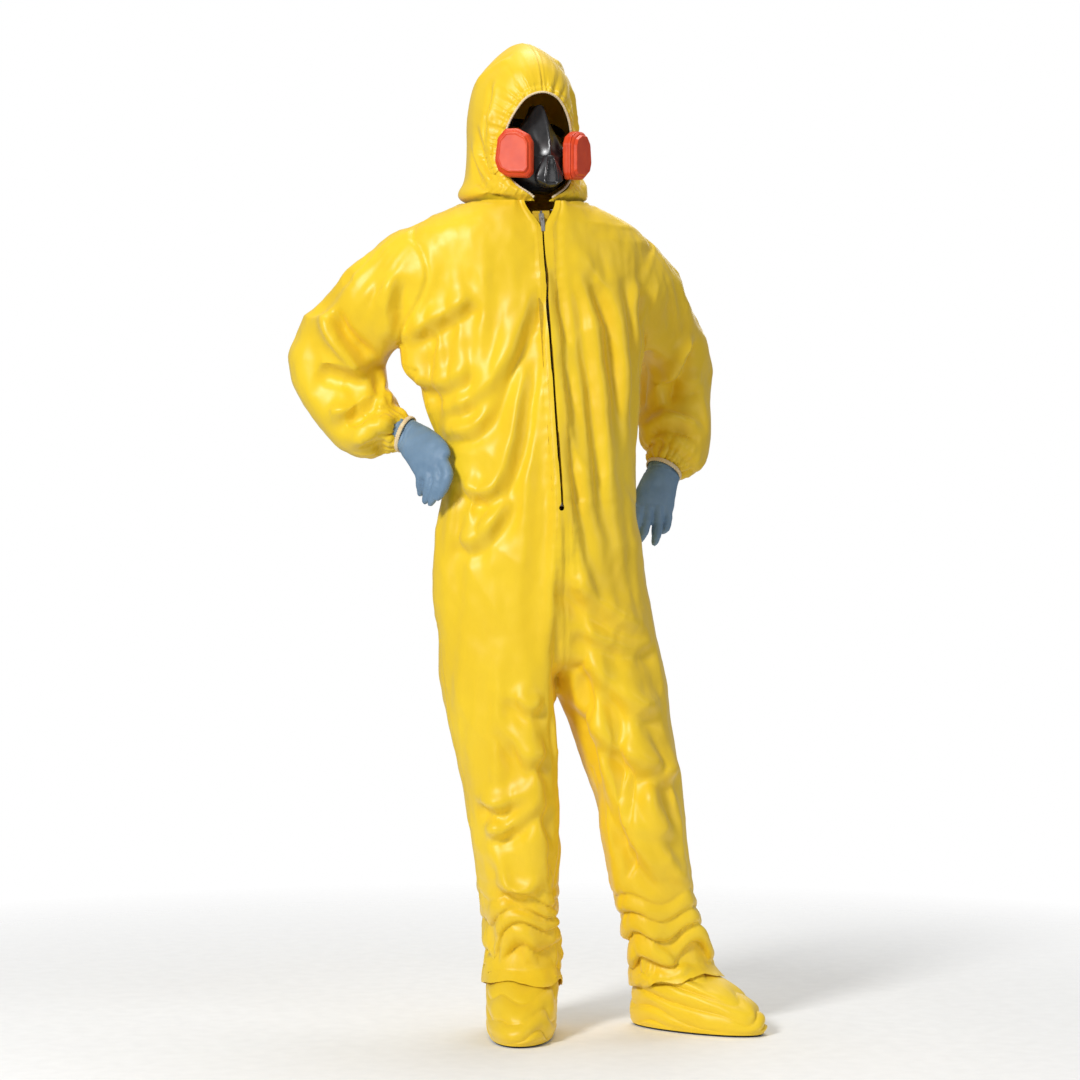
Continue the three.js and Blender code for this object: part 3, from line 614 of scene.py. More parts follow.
def partInto(whole, labels, names, material):
    # part one skin into named panels; each keeps the whole skin's normals, so the shading runs
    # on across the seams
    mesh = whole.data
    verts, normal = points(mesh), normals(mesh)
    made = {}
    faces = facesOf(mesh)
    for label, name in enumerate(names):
        mine = [faces[i] for i in np.nonzero(labels == label)[0]]
        used = np.unique(np.concatenate([np.array(f) for f in mine]))
        number = np.zeros(len(verts), dtype=np.int64)
        number[used] = np.arange(len(used))
        panel = meshFrom(name, verts[used], [tuple(number[list(f)]) for f in mine])
        panel.shade_smooth()
        panel.normals_split_custom_set_from_vertices([tuple(n) for n in normal[used]])
        panel.materials.append(material)
        made[name] = addObject(name, panel)
    bpy.data.objects.remove(whole)
    return made


def groove(field, depth, width):
    # a sewn seam: pulled in along the stitch, with the folded edge a little proud beside it
    proud = np.exp(-(((np.abs(field) - 2.4 * width) / (1.2 * width)) ** 2))
    return -depth * np.exp(-((field / width) ** 2)) + 0.55 * depth * proud


# head, mask and hood share one frame, turned a little to the wearer's left
head = {"axis": (-0.003, 0.008, 1.650), "yaw": 7.0}
headMatrix = Matrix.Translation(head["axis"]) @ Matrix.Rotation(math.radians(head["yaw"]), 4, "Z")

hood = {
    # height, y, half-width, half-depth
    "rows": [
        (0.1995, -0.002, 0.006, 0.008), (0.191, -0.002, 0.028, 0.038), (0.166, 0.000, 0.058, 0.080),
        (0.125, 0.002, 0.087, 0.112), (0.066, 0.003, 0.100, 0.124), (0.010, 0.003, 0.102, 0.120),
        (-0.045, 0.001, 0.107, 0.114), (-0.084, -0.004, 0.116, 0.116),
        (-0.102, -0.007, 0.113, 0.110),
        (-0.150, -0.007, 0.113, 0.110), (-0.220, -0.007, 0.100, 0.100),
    ],
    # half-width and height of the face opening, from the brow down to the throat
    "face": [
        (0.000, 0.097), (0.032, 0.086), (0.055, 0.054), (0.067, 0.018), (0.073, -0.018),
        (0.069, -0.050),
        (0.048, -0.078), (0.020, -0.098), (0.009, -0.112),
    ],
    "along": 340,
    "back": 96,
    "gather": 0.0032,
    "gatherReach": 0.034,
    "rollHeight": -0.083,
    "roll": 0.0062,
}


def hoodBlank():
    rings = []
    across, forward = superEllipse(96, 2.0)
    for z, y, wide, deep in throughRows(hood["rows"], 90):
        rings.append(np.stack([across * wide, y - forward * deep, np.full(96, z)], axis=1))
    mesh = tubeMesh("hood blank", rings)
    bm = bmesh.new()
    bm.from_mesh(mesh)
    tree = BVHTree.FromBMesh(bm)
    bm.free()
    bpy.data.meshes.remove(mesh)
    return tree


def faceRim(count, inset=0.0):
    rows = hood["face"]
    # the rim is laid out from ear to ear, so that it stays round at the brow
    arch = throughRows([(-x, z) for x, z in rows[3:0:-1]] + rows, 320)
    half = np.concatenate([[rows[0]], arch[arch[:, 0] > 0.0005]])
    length = np.concatenate([[0], np.cumsum(np.linalg.norm(np.diff(half, axis=0), axis=1))])
    share = np.linspace(-1, 1, count)
    x = np.interp(np.abs(share) * length[-1], length, half[:, 0]) * np.sign(share)
    z = np.interp(np.abs(share) * length[-1], length, half[:, 1])
    tangent = np.gradient(np.stack([x, z], axis=1), axis=0)
    tangent /= np.linalg.norm(tangent, axis=1)[:, None]
    return np.stack([x + tangent[:, 1] * inset, z - tangent[:, 0] * inset], axis=1)


def onHood(tree, x, z):
    hit = tree.ray_cast(Vector((x, -0.4, z)), Vector((0, 1, 0)))[0]
    return np.array(hit if hit is not None else (x, -0.1, z))


def makeHood(material):
    tree = hoodBlank()
    rim = faceRim(hood["along"])
    centre = np.array((0.0, 0.004, 0.010))
    rows = []
    # a last step across the throat closes the hood's middle seam at the back of the neck
    chin = [(x, rim[-1][1]) for x in np.linspace(rim[-1][0], rim[0][0], 14)[1:]]
    for x, z in [*rim, *chin]:
        start = onHood(tree, x, z)
        first = Vector(start - centre).normalized()
        last = Vector((0.0, 1.0, 0.12)).normalized()
        line = [start]
        for j in range(1, hood["back"]):
            share = (j / (hood["back"] - 1)) ** 1.15
            way = first.slerp(last, share * 0.995) if first.angle(last) < math.pi - 1e-3 else first
            hit = tree.ray_cast(Vector(centre), way)[0]
            line.append(np.array(hit) if hit is not None else line[-1])
        rows.append(line)
    grid = np.array(rows)
    count, deep = grid.shape[:2]
    faces = []
    for i in range(count - 1):
        for j in range(deep - 1):
            a = i * deep + j
            faces.append((a, a + 1, a + deep + 1, a + deep))
    mesh = meshFrom("hood", grid.reshape(-1, 3), faces)
    obj = addObject("hood", mesh)
    bm = bmesh.new()
    bm.from_mesh(mesh)
    bmesh.ops.remove_doubles(bm, verts=bm.verts, dist=0.0004)
    bmesh.ops.bisect_plane(
        bm, geom=bm.verts[:] + bm.edges[:] + bm.faces[:], dist=1e-5, plane_co=(0, 0, -0.104),
        plane_no=(0, 0, -1), clear_outer=True
    )
    bmesh.ops.recalc_face_normals(bm, faces=bm.faces)
    bm.to_mesh(mesh)
    bm.free()
    verts = points(mesh)
    # outward normals
    normal = normals(mesh)
    if ((verts - centre) * normal).sum() < 0:
        mesh.flip_normals()
        normal = -normal
    # how far along the rim and away from it each point is
    edge = np.array([onHood(tree, x, z) for x, z in rim[::2]])
    gaps = np.linalg.norm(verts[:, None, :] - edge[None, :, :], axis=2)
    nearest = gaps.argmin(axis=1)
    away = gaps.min(axis=1)
    ripple = np.array([
        noise.noise(Vector((n * 0.42, 3.1, a * 14)))
        + 0.6 * noise.noise(Vector((n * 0.95, 7.7, a * 20)))
        for n, a in zip(nearest, away)
    ])
    verts += normal * (hood["gather"] * 1.7 * ripple * np.exp(-away / hood["gatherReach"])
        * smoothStep(0, 0.004, away))[:, None]
    # the stitched tunnel that holds the face elastic: a ridge, then its seam
    tunnel = np.exp(-(((away - 0.0055) / 0.0035) ** 2))
    tunnel = tunnel - 0.9 * np.exp(-(((away - 0.0125) / 0.0025) ** 2))
    verts += normal * (tunnel * 0.0016)[:, None]
    # the crown seam, and slack cloth over the crown and round the back
    crown = groove(verts[:, 0], 0.0016, 0.0016) * ((verts[:, 2] > 0.096) | (verts[:, 1] > 0))
    verts += normal * crown[:, None]
    slack = np.array([noise.noise(Vector((v[0] * 17, v[1] * 17, v[2] * 9 + 5))) for v in verts])
    verts += normal * (slack * 0.0045 * smoothStep(0.01, 0.06, away))[:, None]
    # the soft roll that hangs over the neck seam
    low = verts[:, 2]
    angle = np.arctan2(verts[:, 0], -verts[:, 1])
    wave = np.array([noise.noise(Vector((math.cos(a) * 2.2, math.sin(a) * 2.2, 9.0)))
        for a in angle])
    around = hood["rollHeight"] + 0.006 * wave
    rollOut = hood["roll"] * (1 + 0.5 * wave) * np.exp(-(((low - around) / 0.015) ** 2))
    rollOut = rollOut - 0.010 * smoothStep(-0.092, -0.104, low)
    flatNormal = normal * np.array((1, 1, 0.15))
    verts += flatNormal * rollOut[:, None]
    setPoints(mesh, verts)
    for path, width, height in hoodFolds:
        verts = points(mesh)
        foldAlong(verts, normals(mesh), path, width, height)
        setPoints(mesh, verts)
    relaxed(mesh, 1, 0.3)
    subdivided(obj)
    mesh = obj.data
    verts = points(mesh)
    labels = np.array([0 if sum(verts[i][0] for i in f) < 0 else 1 for f in facesOf(mesh)])
    setPoints(mesh, np.array([(headMatrix @ Vector(v))[:] for v in verts]) + np.array(origin))
    return partInto(obj, labels, ["hoodRightCloth", "hoodLeftCloth"], material)


# folds that drape from the temples round the cartridges to the throat: path, half-width, height
hoodFolds = [
    ([(-0.098, -0.030, 0.052), (-0.094, -0.062, -0.010), (-0.074, -0.090, -0.056),
    (-0.036, -0.110, -0.082)], 0.010, 0.0055),
    ([(-0.104, 0.000, 0.020), (-0.104, -0.042, -0.034), (-0.086, -0.080, -0.070),
    (-0.050, -0.104, -0.090)], 0.010, 0.0060),
    ([(-0.085, -0.066, 0.070), (-0.091, -0.066, 0.020), (-0.084, -0.082, -0.026)], 0.009, 0.0040),
    ([(-0.070, -0.060, 0.125), (-0.084, -0.068, 0.080), (-0.092, -0.060, 0.030)], 0.010, 0.0040),
    ([(0.100, -0.024, 0.030), (0.100, -0.056, -0.030), (0.078, -0.092, -0.066)], 0.010, 0.0050),
    ([(0.070, -0.060, 0.120), (0.086, -0.066, 0.070), (0.092, -0.062, 0.010)], 0.009, 0.0040),
    ([(0.104, 0.010, -0.010), (0.106, -0.036, -0.056), (0.082, -0.086, -0.086)], 0.009, 0.0050),
    ([(-0.040, -0.066, 0.160), (-0.066, -0.030, 0.150), (-0.084, 0.020, 0.110)], 0.011, 0.0035),
    ([(0.040, -0.066, 0.160), (0.064, -0.030, 0.150), (0.084, 0.020, 0.110)], 0.011, 0.0035),
]


def ringTube(name, path, radius, material, ripples=0, depth=0.0, closed=True, sides=10):
    # a gathered elastic: a tube along a line of points, thicker and thinner with the gathers
    path = np.array(path)
    count = len(path)
    run = np.gradient(path, axis=0)
    if closed:
        run = np.roll(path, -1, axis=0) - np.roll(path, 1, axis=0)
    run /= np.linalg.norm(run, axis=1)[:, None]
    out = path - path.mean(axis=0)
    out = out - run * (out * run).sum(axis=1)[:, None]
    out /= np.linalg.norm(out, axis=1)[:, None]
    side = np.cross(run, out)
    turn = np.linspace(0, 2 * math.pi, sides, endpoint=False)
    rings = []
    for i in range(count):
        swell = 1 + depth * math.sin(2 * math.pi * ripples * i / count) + 0.5 * depth * noise.noise(
            Vector((i * 0.6, 1.3, 0)))
        outward = np.outer(np.cos(turn), out[i]) * radius[0] * swell
        aside = np.outer(np.sin(turn), side[i]) * radius[1] * swell
        rings.append(path[i] + outward + aside)
    if closed:
        verts = np.array(rings).reshape(-1, 3)
        faces = []
        for i in range(count):
            for j in range(sides):
                k, n = (j + 1) % sides, (i + 1) % count
                faces.append((i * sides + j, i * sides + k, n * sides + k, n * sides + j))
        mesh = meshFrom(name, verts, faces)
    else:
        mesh = tubeMesh(name, rings)
    facingOut(mesh)
    mesh.shade_smooth()
    mesh.materials.append(material)
    return addObject(name, mesh)


def makeFaceElastic(material):
    tree = hoodBlank()
    rim = [p for p in faceRim(420, 0.0016) if p[1] > -0.098]
    path = [headMatrix @ Vector(onHood(tree, x, z)) + origin for x, z in rim]
    return ringTube("faceElasticBinding", path, (0.0021, 0.0026), material, ripples=110, depth=0.16,
        closed=False)


def makeWristElastic(name, table, material):
    spine, run, across, deep, inPlane, offPlane = limbFrames(table, 50)
    turn = np.linspace(0, 2 * math.pi, 240, endpoint=False)
    path = [
        spine[-1] + run[-1] * 0.0035 + across[-1] * math.sin(t) * (offPlane[-1] - 0.001) + deep[-1]
        * math.cos(t) * (inPlane[-1] - 0.001)
        for t in turn
    ]
    return ringTube(name, np.array(path) + np.array(origin), (0.0020, 0.0042), material, ripples=46,
        depth=0.13)


# Folds laid on the draped cloth, seen from the front: points (x, height), half-width and
# how far it stands out. The hollow lies on the lower side of a fold that runs to +x.
laidFolds = {
    "chest": [
        ([(-0.250, 1.288), (-0.190, 1.325), (-0.148, 1.351), (-0.105, 1.380)], 0.018, 0.011),
        ([(-0.252, 1.270), (-0.200, 1.222), (-0.153, 1.218), (-0.100, 1.262)], 0.020, 0.010),
        ([(-0.232, 1.215), (-0.180, 1.166), (-0.127, 1.182), (-0.075, 1.239), (-0.030, 1.327),
        (-0.005, 1.430)], 0.019, 0.011),
        ([(-0.214, 1.190), (-0.166, 1.130), (-0.117, 1.131), (-0.075, 1.203), (-0.040, 1.296)],
        0.017, 0.010),
        ([(-0.174, 1.120), (-0.148, 1.059), (-0.117, 1.016), (-0.083, 1.020), (-0.052, 1.090),
        (-0.033, 1.213), (-0.014, 1.327)], 0.017, 0.014),
        ([(-0.145, 0.940), (-0.117, 0.922), (-0.080, 0.965), (-0.060, 1.038)], 0.018, 0.010),
        ([(0.030, 1.490), (0.089, 1.380), (0.110, 1.266), (0.126, 1.137), (0.142, 0.903)], 0.017,
        0.008),
        ([(0.045, 1.490), (0.137, 1.370), (0.166, 1.267), (0.174, 1.111)], 0.017, 0.008),
        ([(0.026, 1.470), (0.062, 1.359), (0.080, 1.163), (0.086, 0.904)], 0.014, 0.008),
        ([(0.200, 1.270), (0.190, 1.345), (0.200, 1.410)], 0.015, 0.010),
    ],
    "rightSleeve": [
        ([(-0.286, 1.240), (-0.330, 1.268), (-0.360, 1.304), (-0.366, 1.350)], 0.016, 0.019),
        ([(-0.250, 1.290), (-0.266, 1.352), (-0.258, 1.420)], 0.018, 0.012),
        ([(-0.390, 1.246), (-0.356, 1.248), (-0.290, 1.230)], 0.016, 0.012),
        ([(-0.370, 1.150), (-0.320, 1.168), (-0.280, 1.198)], 0.016, 0.012),
        ([(-0.330, 1.100), (-0.272, 1.130), (-0.236, 1.160)], 0.013, 0.011),
    ],
    "leftSleeve": [
        ([(0.278, 1.165), (0.293, 1.223), (0.315, 1.277), (0.350, 1.312)], 0.016, 0.019),
        ([(0.258, 1.128), (0.288, 1.150), (0.327, 1.142), (0.370, 1.122)], 0.014, 0.014),
        ([(0.300, 1.250), (0.332, 1.226), (0.370, 1.230)], 0.016, 0.010),
        ([(0.262, 1.258), (0.272, 1.222), (0.264, 1.160)], 0.014, 0.009),
    ],
    "leftLeg": [
        ([(0.040, 0.876), (0.092, 0.822), (0.163, 0.777), (0.226, 0.745)], 0.023, 0.012),
        ([(0.064, 0.774), (0.120, 0.742), (0.191, 0.727), (0.232, 0.742)], 0.018, 0.008),
        ([(0.060, 0.725), (0.120, 0.672), (0.191, 0.620), (0.240, 0.618)], 0.023, 0.011),
        ([(0.070, 0.640), (0.110, 0.580), (0.163, 0.534), (0.233, 0.497), (0.280, 0.508)], 0.022,
        0.014),
        ([(0.100, 0.600), (0.130, 0.508), (0.170, 0.404), (0.219, 0.320), (0.283, 0.250)], 0.021,
        0.012),
        ([(0.276, 0.498), (0.225, 0.465), (0.208, 0.438), (0.233, 0.389), (0.283, 0.367)], 0.017,
        0.009),
        ([(0.175, 0.420), (0.219, 0.369), (0.262, 0.305), (0.290, 0.290)], 0.016, 0.009),
    ],
    "rightLeg": [
        ([(-0.055, 0.652), (-0.018, 0.618), (0.012, 0.631)], 0.017, 0.008),
        ([(-0.070, 0.598), (-0.022, 0.529), (0.020, 0.540)], 0.018, 0.010),
        ([(-0.140, 0.505), (-0.108, 0.449), (-0.064, 0.438), (-0.015, 0.474)], 0.017, 0.013),
        ([(-0.132, 0.443), (-0.090, 0.386), (-0.050, 0.398), (0.008, 0.460)], 0.017, 0.012),
        ([(-0.110, 0.325), (-0.077, 0.300), (-0.036, 0.274), (0.016, 0.296)], 0.014, 0.010),
        ([(-0.075, 0.350), (-0.043, 0.280), (0.016, 0.258)], 0.014, 0.008),
    ],
}


def treeOf(mesh):
    bm = bmesh.new()
    bm.from_mesh(mesh)
    tree = BVHTree.FromBMesh(bm)
    bm.free()
    return tree


def layFolds(mesh):
    tree = treeOf(mesh)
    verts, normal = points(mesh), normals(mesh)
    for folds in laidFolds.values():
        for line, width, height in folds:
            onCloth = [tree.ray_cast(Vector((x, -1, z)), Vector((0, 1, 0)))[0] for x, z in line]
            onCloth = [tuple(hit) for hit in onCloth if hit is not None]
            if len(onCloth) > 2:
                foldAlong(verts, normal, onCloth, width, height)
    setPoints(mesh, verts)


def ridged(x, y, z):
    # sharp-backed folds with soft hollows between them
    return 1 - 2 * abs(noise.noise(Vector((x, y, z))))


creases = {
    "rollTall": 0.037,
    "rollDeep": 0.0070,
    "hemDrop": 0.016,
    "heelDrop": 0.030,
    "bootGap": 0.010,
    "cuffGathers": 19,
    "cuffDepth": 0.0032,
    "slack": 0.0022,
    "broadFold": 0.0032,
    "sleeveFold": 0.0048,
    "seamDepth": 0.0016,
    "seamWidth": 0.0022,
    "placket": 0.0165,
    "placketRise": 0.0026,
    "throat": 0.027,
    "throatFoot": 1.488,
}


def evenLegs(mesh):
    # takes the small puckers out of the legs and seat, and leaves the ankles as they fell
    start = points(mesh)
    relaxed(mesh, 9, 0.5)
    z = start[:, 2]
    weight = (0.9 * smoothStep(0.99, 0.86, z) * smoothStep(0.20, 0.30, z))[:, None]
    setPoints(mesh, start * (1 - weight) + points(mesh) * weight)


def pileOf(height, turn, seed, tall):
    # rolls of piled-up cloth: round backs with sharp hollows between them, wandering round the leg
    wander = noise.noise(Vector((math.cos(turn) * 1.1 + seed, math.sin(turn) * 1.1, height * 8)))
    strength = 0.8 + 0.8 * noise.noise(Vector((math.cos(turn) * 1.5, math.sin(turn) * 1.5 + seed,
        height * 14)))
    return (2.2 * abs(math.sin(math.pi * (height / tall + 1.3 * wander))) ** 0.65 - 1.4) * strength


def bunchAnkles(mesh):
    # the trouser legs are too long and pile up over the boot covers
    verts, normal = points(mesh), normals(mesh)
    z = verts[:, 2]
    for leg, seed in (("rightLeg", 3.0), ("leftLeg", 11.0)):
        _, x, y, _, _ = shape[leg][-2]
        mine = np.nonzero((z < 0.36) & (np.abs(verts[:, 0] - x) < 0.15))[0]
        turn = np.arctan2(verts[mine, 0] - x, verts[mine, 1] - y)
        roll = np.array([pileOf(h, t, seed, creases["rollTall"]) for t, h in zip(turn, z[mine])])
        near = smoothStep(0.31, 0.19, z[mine]) * (0.25 + 0.75 * smoothStep(0.120, 0.146, z[mine]))
        out = (roll * near * creases["rollDeep"])[:, None]
        verts[mine] += normal[mine] * out + np.array((0, 0, -0.45)) * out
    setPoints(mesh, verts)


def sagHems(mesh):
    # the hems hang unevenly over the boot covers, lower at the heel than over the instep
    verts = points(mesh)
    z = verts[:, 2].copy()
    rows = np.array(boots["rows"])[::-1]
    for leg, side in (("rightLeg", "right"), ("leftLeg", "left")):
        _, x, y, _, _ = shape[leg][-1]
        yaw = math.radians(boots[side]["yaw"])
        toe = np.array((math.sin(yaw), -math.cos(yaw)))
        across = np.array((math.cos(yaw), math.sin(yaw)))
        mine = np.nonzero((z < 0.22) & (np.abs(verts[:, 0] - x) < 0.15))[0]
        turn = np.arctan2(verts[mine, 0] - x, y - verts[mine, 1]) - yaw
        wave = np.array([noise.noise(Vector((math.cos(t) * 1.6 + x * 9, math.sin(t) * 1.6, 2.0)))
            for t in turn])
        drop = creases["hemDrop"] + creases["heelDrop"] * (0.5 - 0.5 * np.cos(turn)) + 0.012 * wave
        verts[mine, 2] -= drop * smoothStep(0.22, 0.125, z[mine])
        # kept clear of the boot cover underneath
        off = verts[mine, :2] - np.array(boots[side]["at"])
        step, wide, deep = [np.interp(verts[mine, 2], rows[:, 0], rows[:, i]) for i in (1, 2, 3)]
        run, aside = off @ toe - step, off @ across
        deep, wide = deep + creases["bootGap"], wide + creases["bootGap"]
        ratio = np.sqrt((run / deep) ** 2 + (aside / wide) ** 2)
        push = np.maximum(1.0, 1 / np.maximum(ratio, 0.4)) - 1
        push = push * smoothStep(0.185, 0.130, verts[mine, 2])
        verts[mine, :2] += (run * push)[:, None] * toe + (aside * push)[:, None] * across
    setPoints(mesh, verts)


def gatherCuffs(mesh):
    verts, normal = points(mesh), normals(mesh)
    for name in ("rightSleeve", "leftSleeve"):
        at, run = sleeveEnd(shape[name])
        _, _, across, deep, _, _ = limbFrames(shape[name], 50)
        off = verts - at
        along = off @ run
        mine = np.nonzero((np.linalg.norm(off, axis=1) < 0.13) & (along > -0.075))[0]
        turn = np.arctan2(off[mine] @ across[-1], off[mine] @ deep[-1])
        fine = np.sin(turn * creases["cuffGathers"] + 2.2 * np.sin(turn * 3))
        fine = fine + 0.5 * np.sin(turn * 8 + 1)
        fade = np.exp(along[mine] / 0.030) * smoothStep(0.002, -0.004, along[mine])
        verts[mine] += normal[mine] * (fine * creases["cuffDepth"] * fade)[:, None]
    setPoints(mesh, verts)


def sewCoverall(mesh, sleeve, middle, side):
    # seams, the placket over the zip and the slackness of the cloth
    verts, normal = points(mesh), normals(mesh)
    _, y, z = verts.T
    slack = np.array([noise.noise(Vector((v[0] * 26, v[1] * 26, v[2] * 15))) for v in verts])
    slack += 0.45 * np.array([noise.noise(Vector((v[0] * 60, v[1] * 60 + 4, v[2] * 38)))
        for v in verts])
    lift = slack * creases["slack"]
    broad = np.array([ridged(v[0] * 10 + v[2] * 5, v[1] * 10, v[2] * 6 - abs(v[0]) * 4)
        for v in verts]) - 0.45
    foldDepth = creases["broadFold"] + creases["sleeveFold"] * smoothStep(-0.01, 0.04, sleeve)
    lift += broad * foldDepth * smoothStep(1.54, 1.47, z)
    depth, width = creases["seamDepth"], creases["seamWidth"]
    inTrunk = sleeve < -0.004
    lift += groove(sleeve, depth * 1.3, width) * (sleeve > -0.05)
    lift += groove(side, depth, width) * inTrunk * (np.abs(middle) > 0.05)
    backOrLeg = (y > 0) | (z < zipEnd[2] - 0.01)
    lift += groove(middle, depth, width) * inTrunk * backOrLeg
    onFront = inTrunk & (y < -0.04) & (z > 0.80)
    placket = creases["placket"]
    edge = smoothStep(placket + 0.0022, placket, np.abs(middle - 0.004))
    lift += onFront * edge * creases["placketRise"] * smoothStep(0.80, 0.90, z)
    pucker = np.sin(z * 2 * math.pi / 0.021 + 3 * np.sin(z * 14))
    pucker = pucker * np.exp(-(((np.abs(middle - 0.004) - placket - 0.006) / 0.008) ** 2))
    lift += onFront * pucker * 0.0005
    verts = verts + normal * lift[:, None]
    setPoints(mesh, verts)


def openThroat(mesh):
    # above the slider the two fronts fall apart
    verts = points(mesh)
    x, y, z = verts.T
    off = x - np.array([zipAt(h)[0] for h in z])
    above = smoothStep(creases["throatFoot"], shape["neckHeight"], z)
    apart = creases["throat"] * above * np.exp(-((off / 0.034) ** 2))
    verts[:, 0] += np.sign(off) * apart * (y < -0.05)
    verts[:, 1] += 0.4 * apart * (y < -0.05)
    setPoints(mesh, verts)


def placketStitches(tree, thread):
    # two rows of stitching beside the zip
    verts, faces = [], []
    for offset in (-0.0105, 0.0185):
        for z in np.arange(0.925, 1.515, 0.0048):
            ends = []
            for h in (z, z + 0.0032):
                x = zipAt(max(h, 0.982))[0] + offset
                hit, away, _, _ = tree.ray_cast(Vector((x, -1, h)), Vector((0, 1, 0)))
                if hit is not None:
                    ends.append(np.array(hit) + np.array(away) * 0.0002)
            if len(ends) < 2 or abs(ends[0][1] - ends[1][1]) > 0.01:
                continue
            first = len(verts)
            for p in ends:
                for dx, dy in ((-0.0003, 0), (0, -0.0003), (0.0003, 0), (0, 0.0003)):
                    verts.append(p + np.array((dx, dy, 0)))
            for j in range(4):
                k = (j + 1) % 4
                faces.append((first + j, first + k, first + 4 + k, first + 4 + j))
            faces += [(first + 3, first + 2, first + 1, first),
                (first + 4, first + 5, first + 6, first + 7)]
    mesh = meshFrom("placketStitching", np.array(verts) + np.array(origin), faces)
    mesh.materials.append(thread)
    return addObject("placketStitching", mesh)


def finishCoverall(fabric, thread):
    cloth, fields = makeCoverall()
    report("coverall draped")
    for name, values in zip(("sleeve seam", "middle seam", "side seam"), fields):
        storeField(cloth.data, name, values)
    evenLegs(cloth.data)
    layFolds(cloth.data)
    relaxed(cloth.data, 1, 0.35)
    subdivided(cloth)
    mesh = cloth.data
    bunchAnkles(mesh)
    sleeve, middle, side = [takeField(mesh, name)
        for name in ("sleeve seam", "middle seam", "side seam")]
    gatherCuffs(mesh)
    sagHems(mesh)
    sewCoverall(mesh, sleeve, middle, side)
    openThroat(mesh)
    stitches = placketStitches(treeOf(mesh), thread)
    labels = []
    across = points(mesh)[:, 0]
    for face in facesOf(mesh):
        f = list(face)
        if sleeve[f].mean() > 0:
            labels.append(4 if across[f[0]] < 0 else 5)
        else:
            labels.append((0 if side[f].mean() < 0 else 2) + (0 if middle[f].mean() < 0 else 1))
    setPoints(mesh, points(mesh) + np.array(origin))
    names = ["rightFrontCloth", "leftFrontCloth", "rightBackCloth", "leftBackCloth",
        "rightSleeveCloth", "leftSleeveCloth"]
    made = partInto(cloth, np.array(labels), names, fabric)
    return made, stitches


# boot covers
boots = {
    # height, step towards the toe, half-width, half-length
    "rows": [
        (0.168, 0.000, 0.058, 0.060), (0.125, 0.002, 0.062, 0.068), (0.100, 0.014, 0.066, 0.086),
        (0.075, 0.038, 0.066, 0.112), (0.045, 0.056, 0.064, 0.136), (0.018, 0.062, 0.063, 0.146),
        (0.0033, 0.062, 0.059, 0.141),
    ],
    "right": {"at": (-0.002, 0.010), "yaw": -14, "seed": 2.0},
    "left": {"at": (0.280, -0.002), "yaw": 42, "seed": 8.0},
    "wrinkle": 0.0034,
    "foldTall": 0.030,
    "around": 168,
    "up": 96,
}


def makeBoot(side, fabric):
    ankle = boots[side]
    yaw = math.radians(ankle["yaw"])
    toe = np.array((math.sin(yaw), -math.cos(yaw), 0))
    wide3, at = np.array((math.cos(yaw), math.sin(yaw), 0)), np.array((*ankle["at"], 0))
    across, forward = superEllipse(boots["around"], 2.15)
    turn = np.linspace(0, 2 * math.pi, boots["around"], endpoint=False)
    rings = []
    for z, step, wide, deep in throughRows(boots["rows"], boots["up"]):
        ring = at + toe * step + np.outer(across * wide, wide3) + np.outer(forward * deep, toe)
        ring[:, 2] = z
        low = smoothStep(0.003, 0.016, z)
        for j in range(boots["around"]):
            c, s = math.cos(turn[j]), math.sin(turn[j])
            fold = pileOf(z + 0.012 * c, turn[j], ankle["seed"], boots["foldTall"])
            small = noise.noise(Vector((c * 4, s * 4 + ankle["seed"], z * 60)))
            out = (fold * boots["wrinkle"] + small * 0.0016) * low
            ring[j, :2] += (wide3 * s + toe * c)[:2] * out
            ring[j, 2] += 0.4 * out
        rings.append(ring + np.array(origin))
    mesh = tubeMesh(side + "BootCloth", rings, closed=False)
    facingOut(mesh)
    mesh.shade_smooth()
    mesh.materials.append(fabric)
    return addObject(side + "BootCloth", mesh)


def makeAnkleElastic(side, material):
    ankle = boots[side]
    yaw = math.radians(ankle["yaw"])
    turn = np.linspace(0, 2 * math.pi, 200, endpoint=False)
    path = [
        (
            origin[0] + ankle["at"][0] + math.cos(yaw) * math.sin(t) * 0.0622 + math.sin(yaw)
            * math.cos(t) * 0.0655,
            origin[1] + ankle["at"][1] + math.sin(yaw) * math.sin(t) * 0.0622 - math.cos(yaw)
            * math.cos(t) * 0.0655,
            0.153,
        )
        for t in turn
    ]
    return ringTube(side + "AnkleBinding", path, (0.0016, 0.0044), material, ripples=44, depth=0.2)


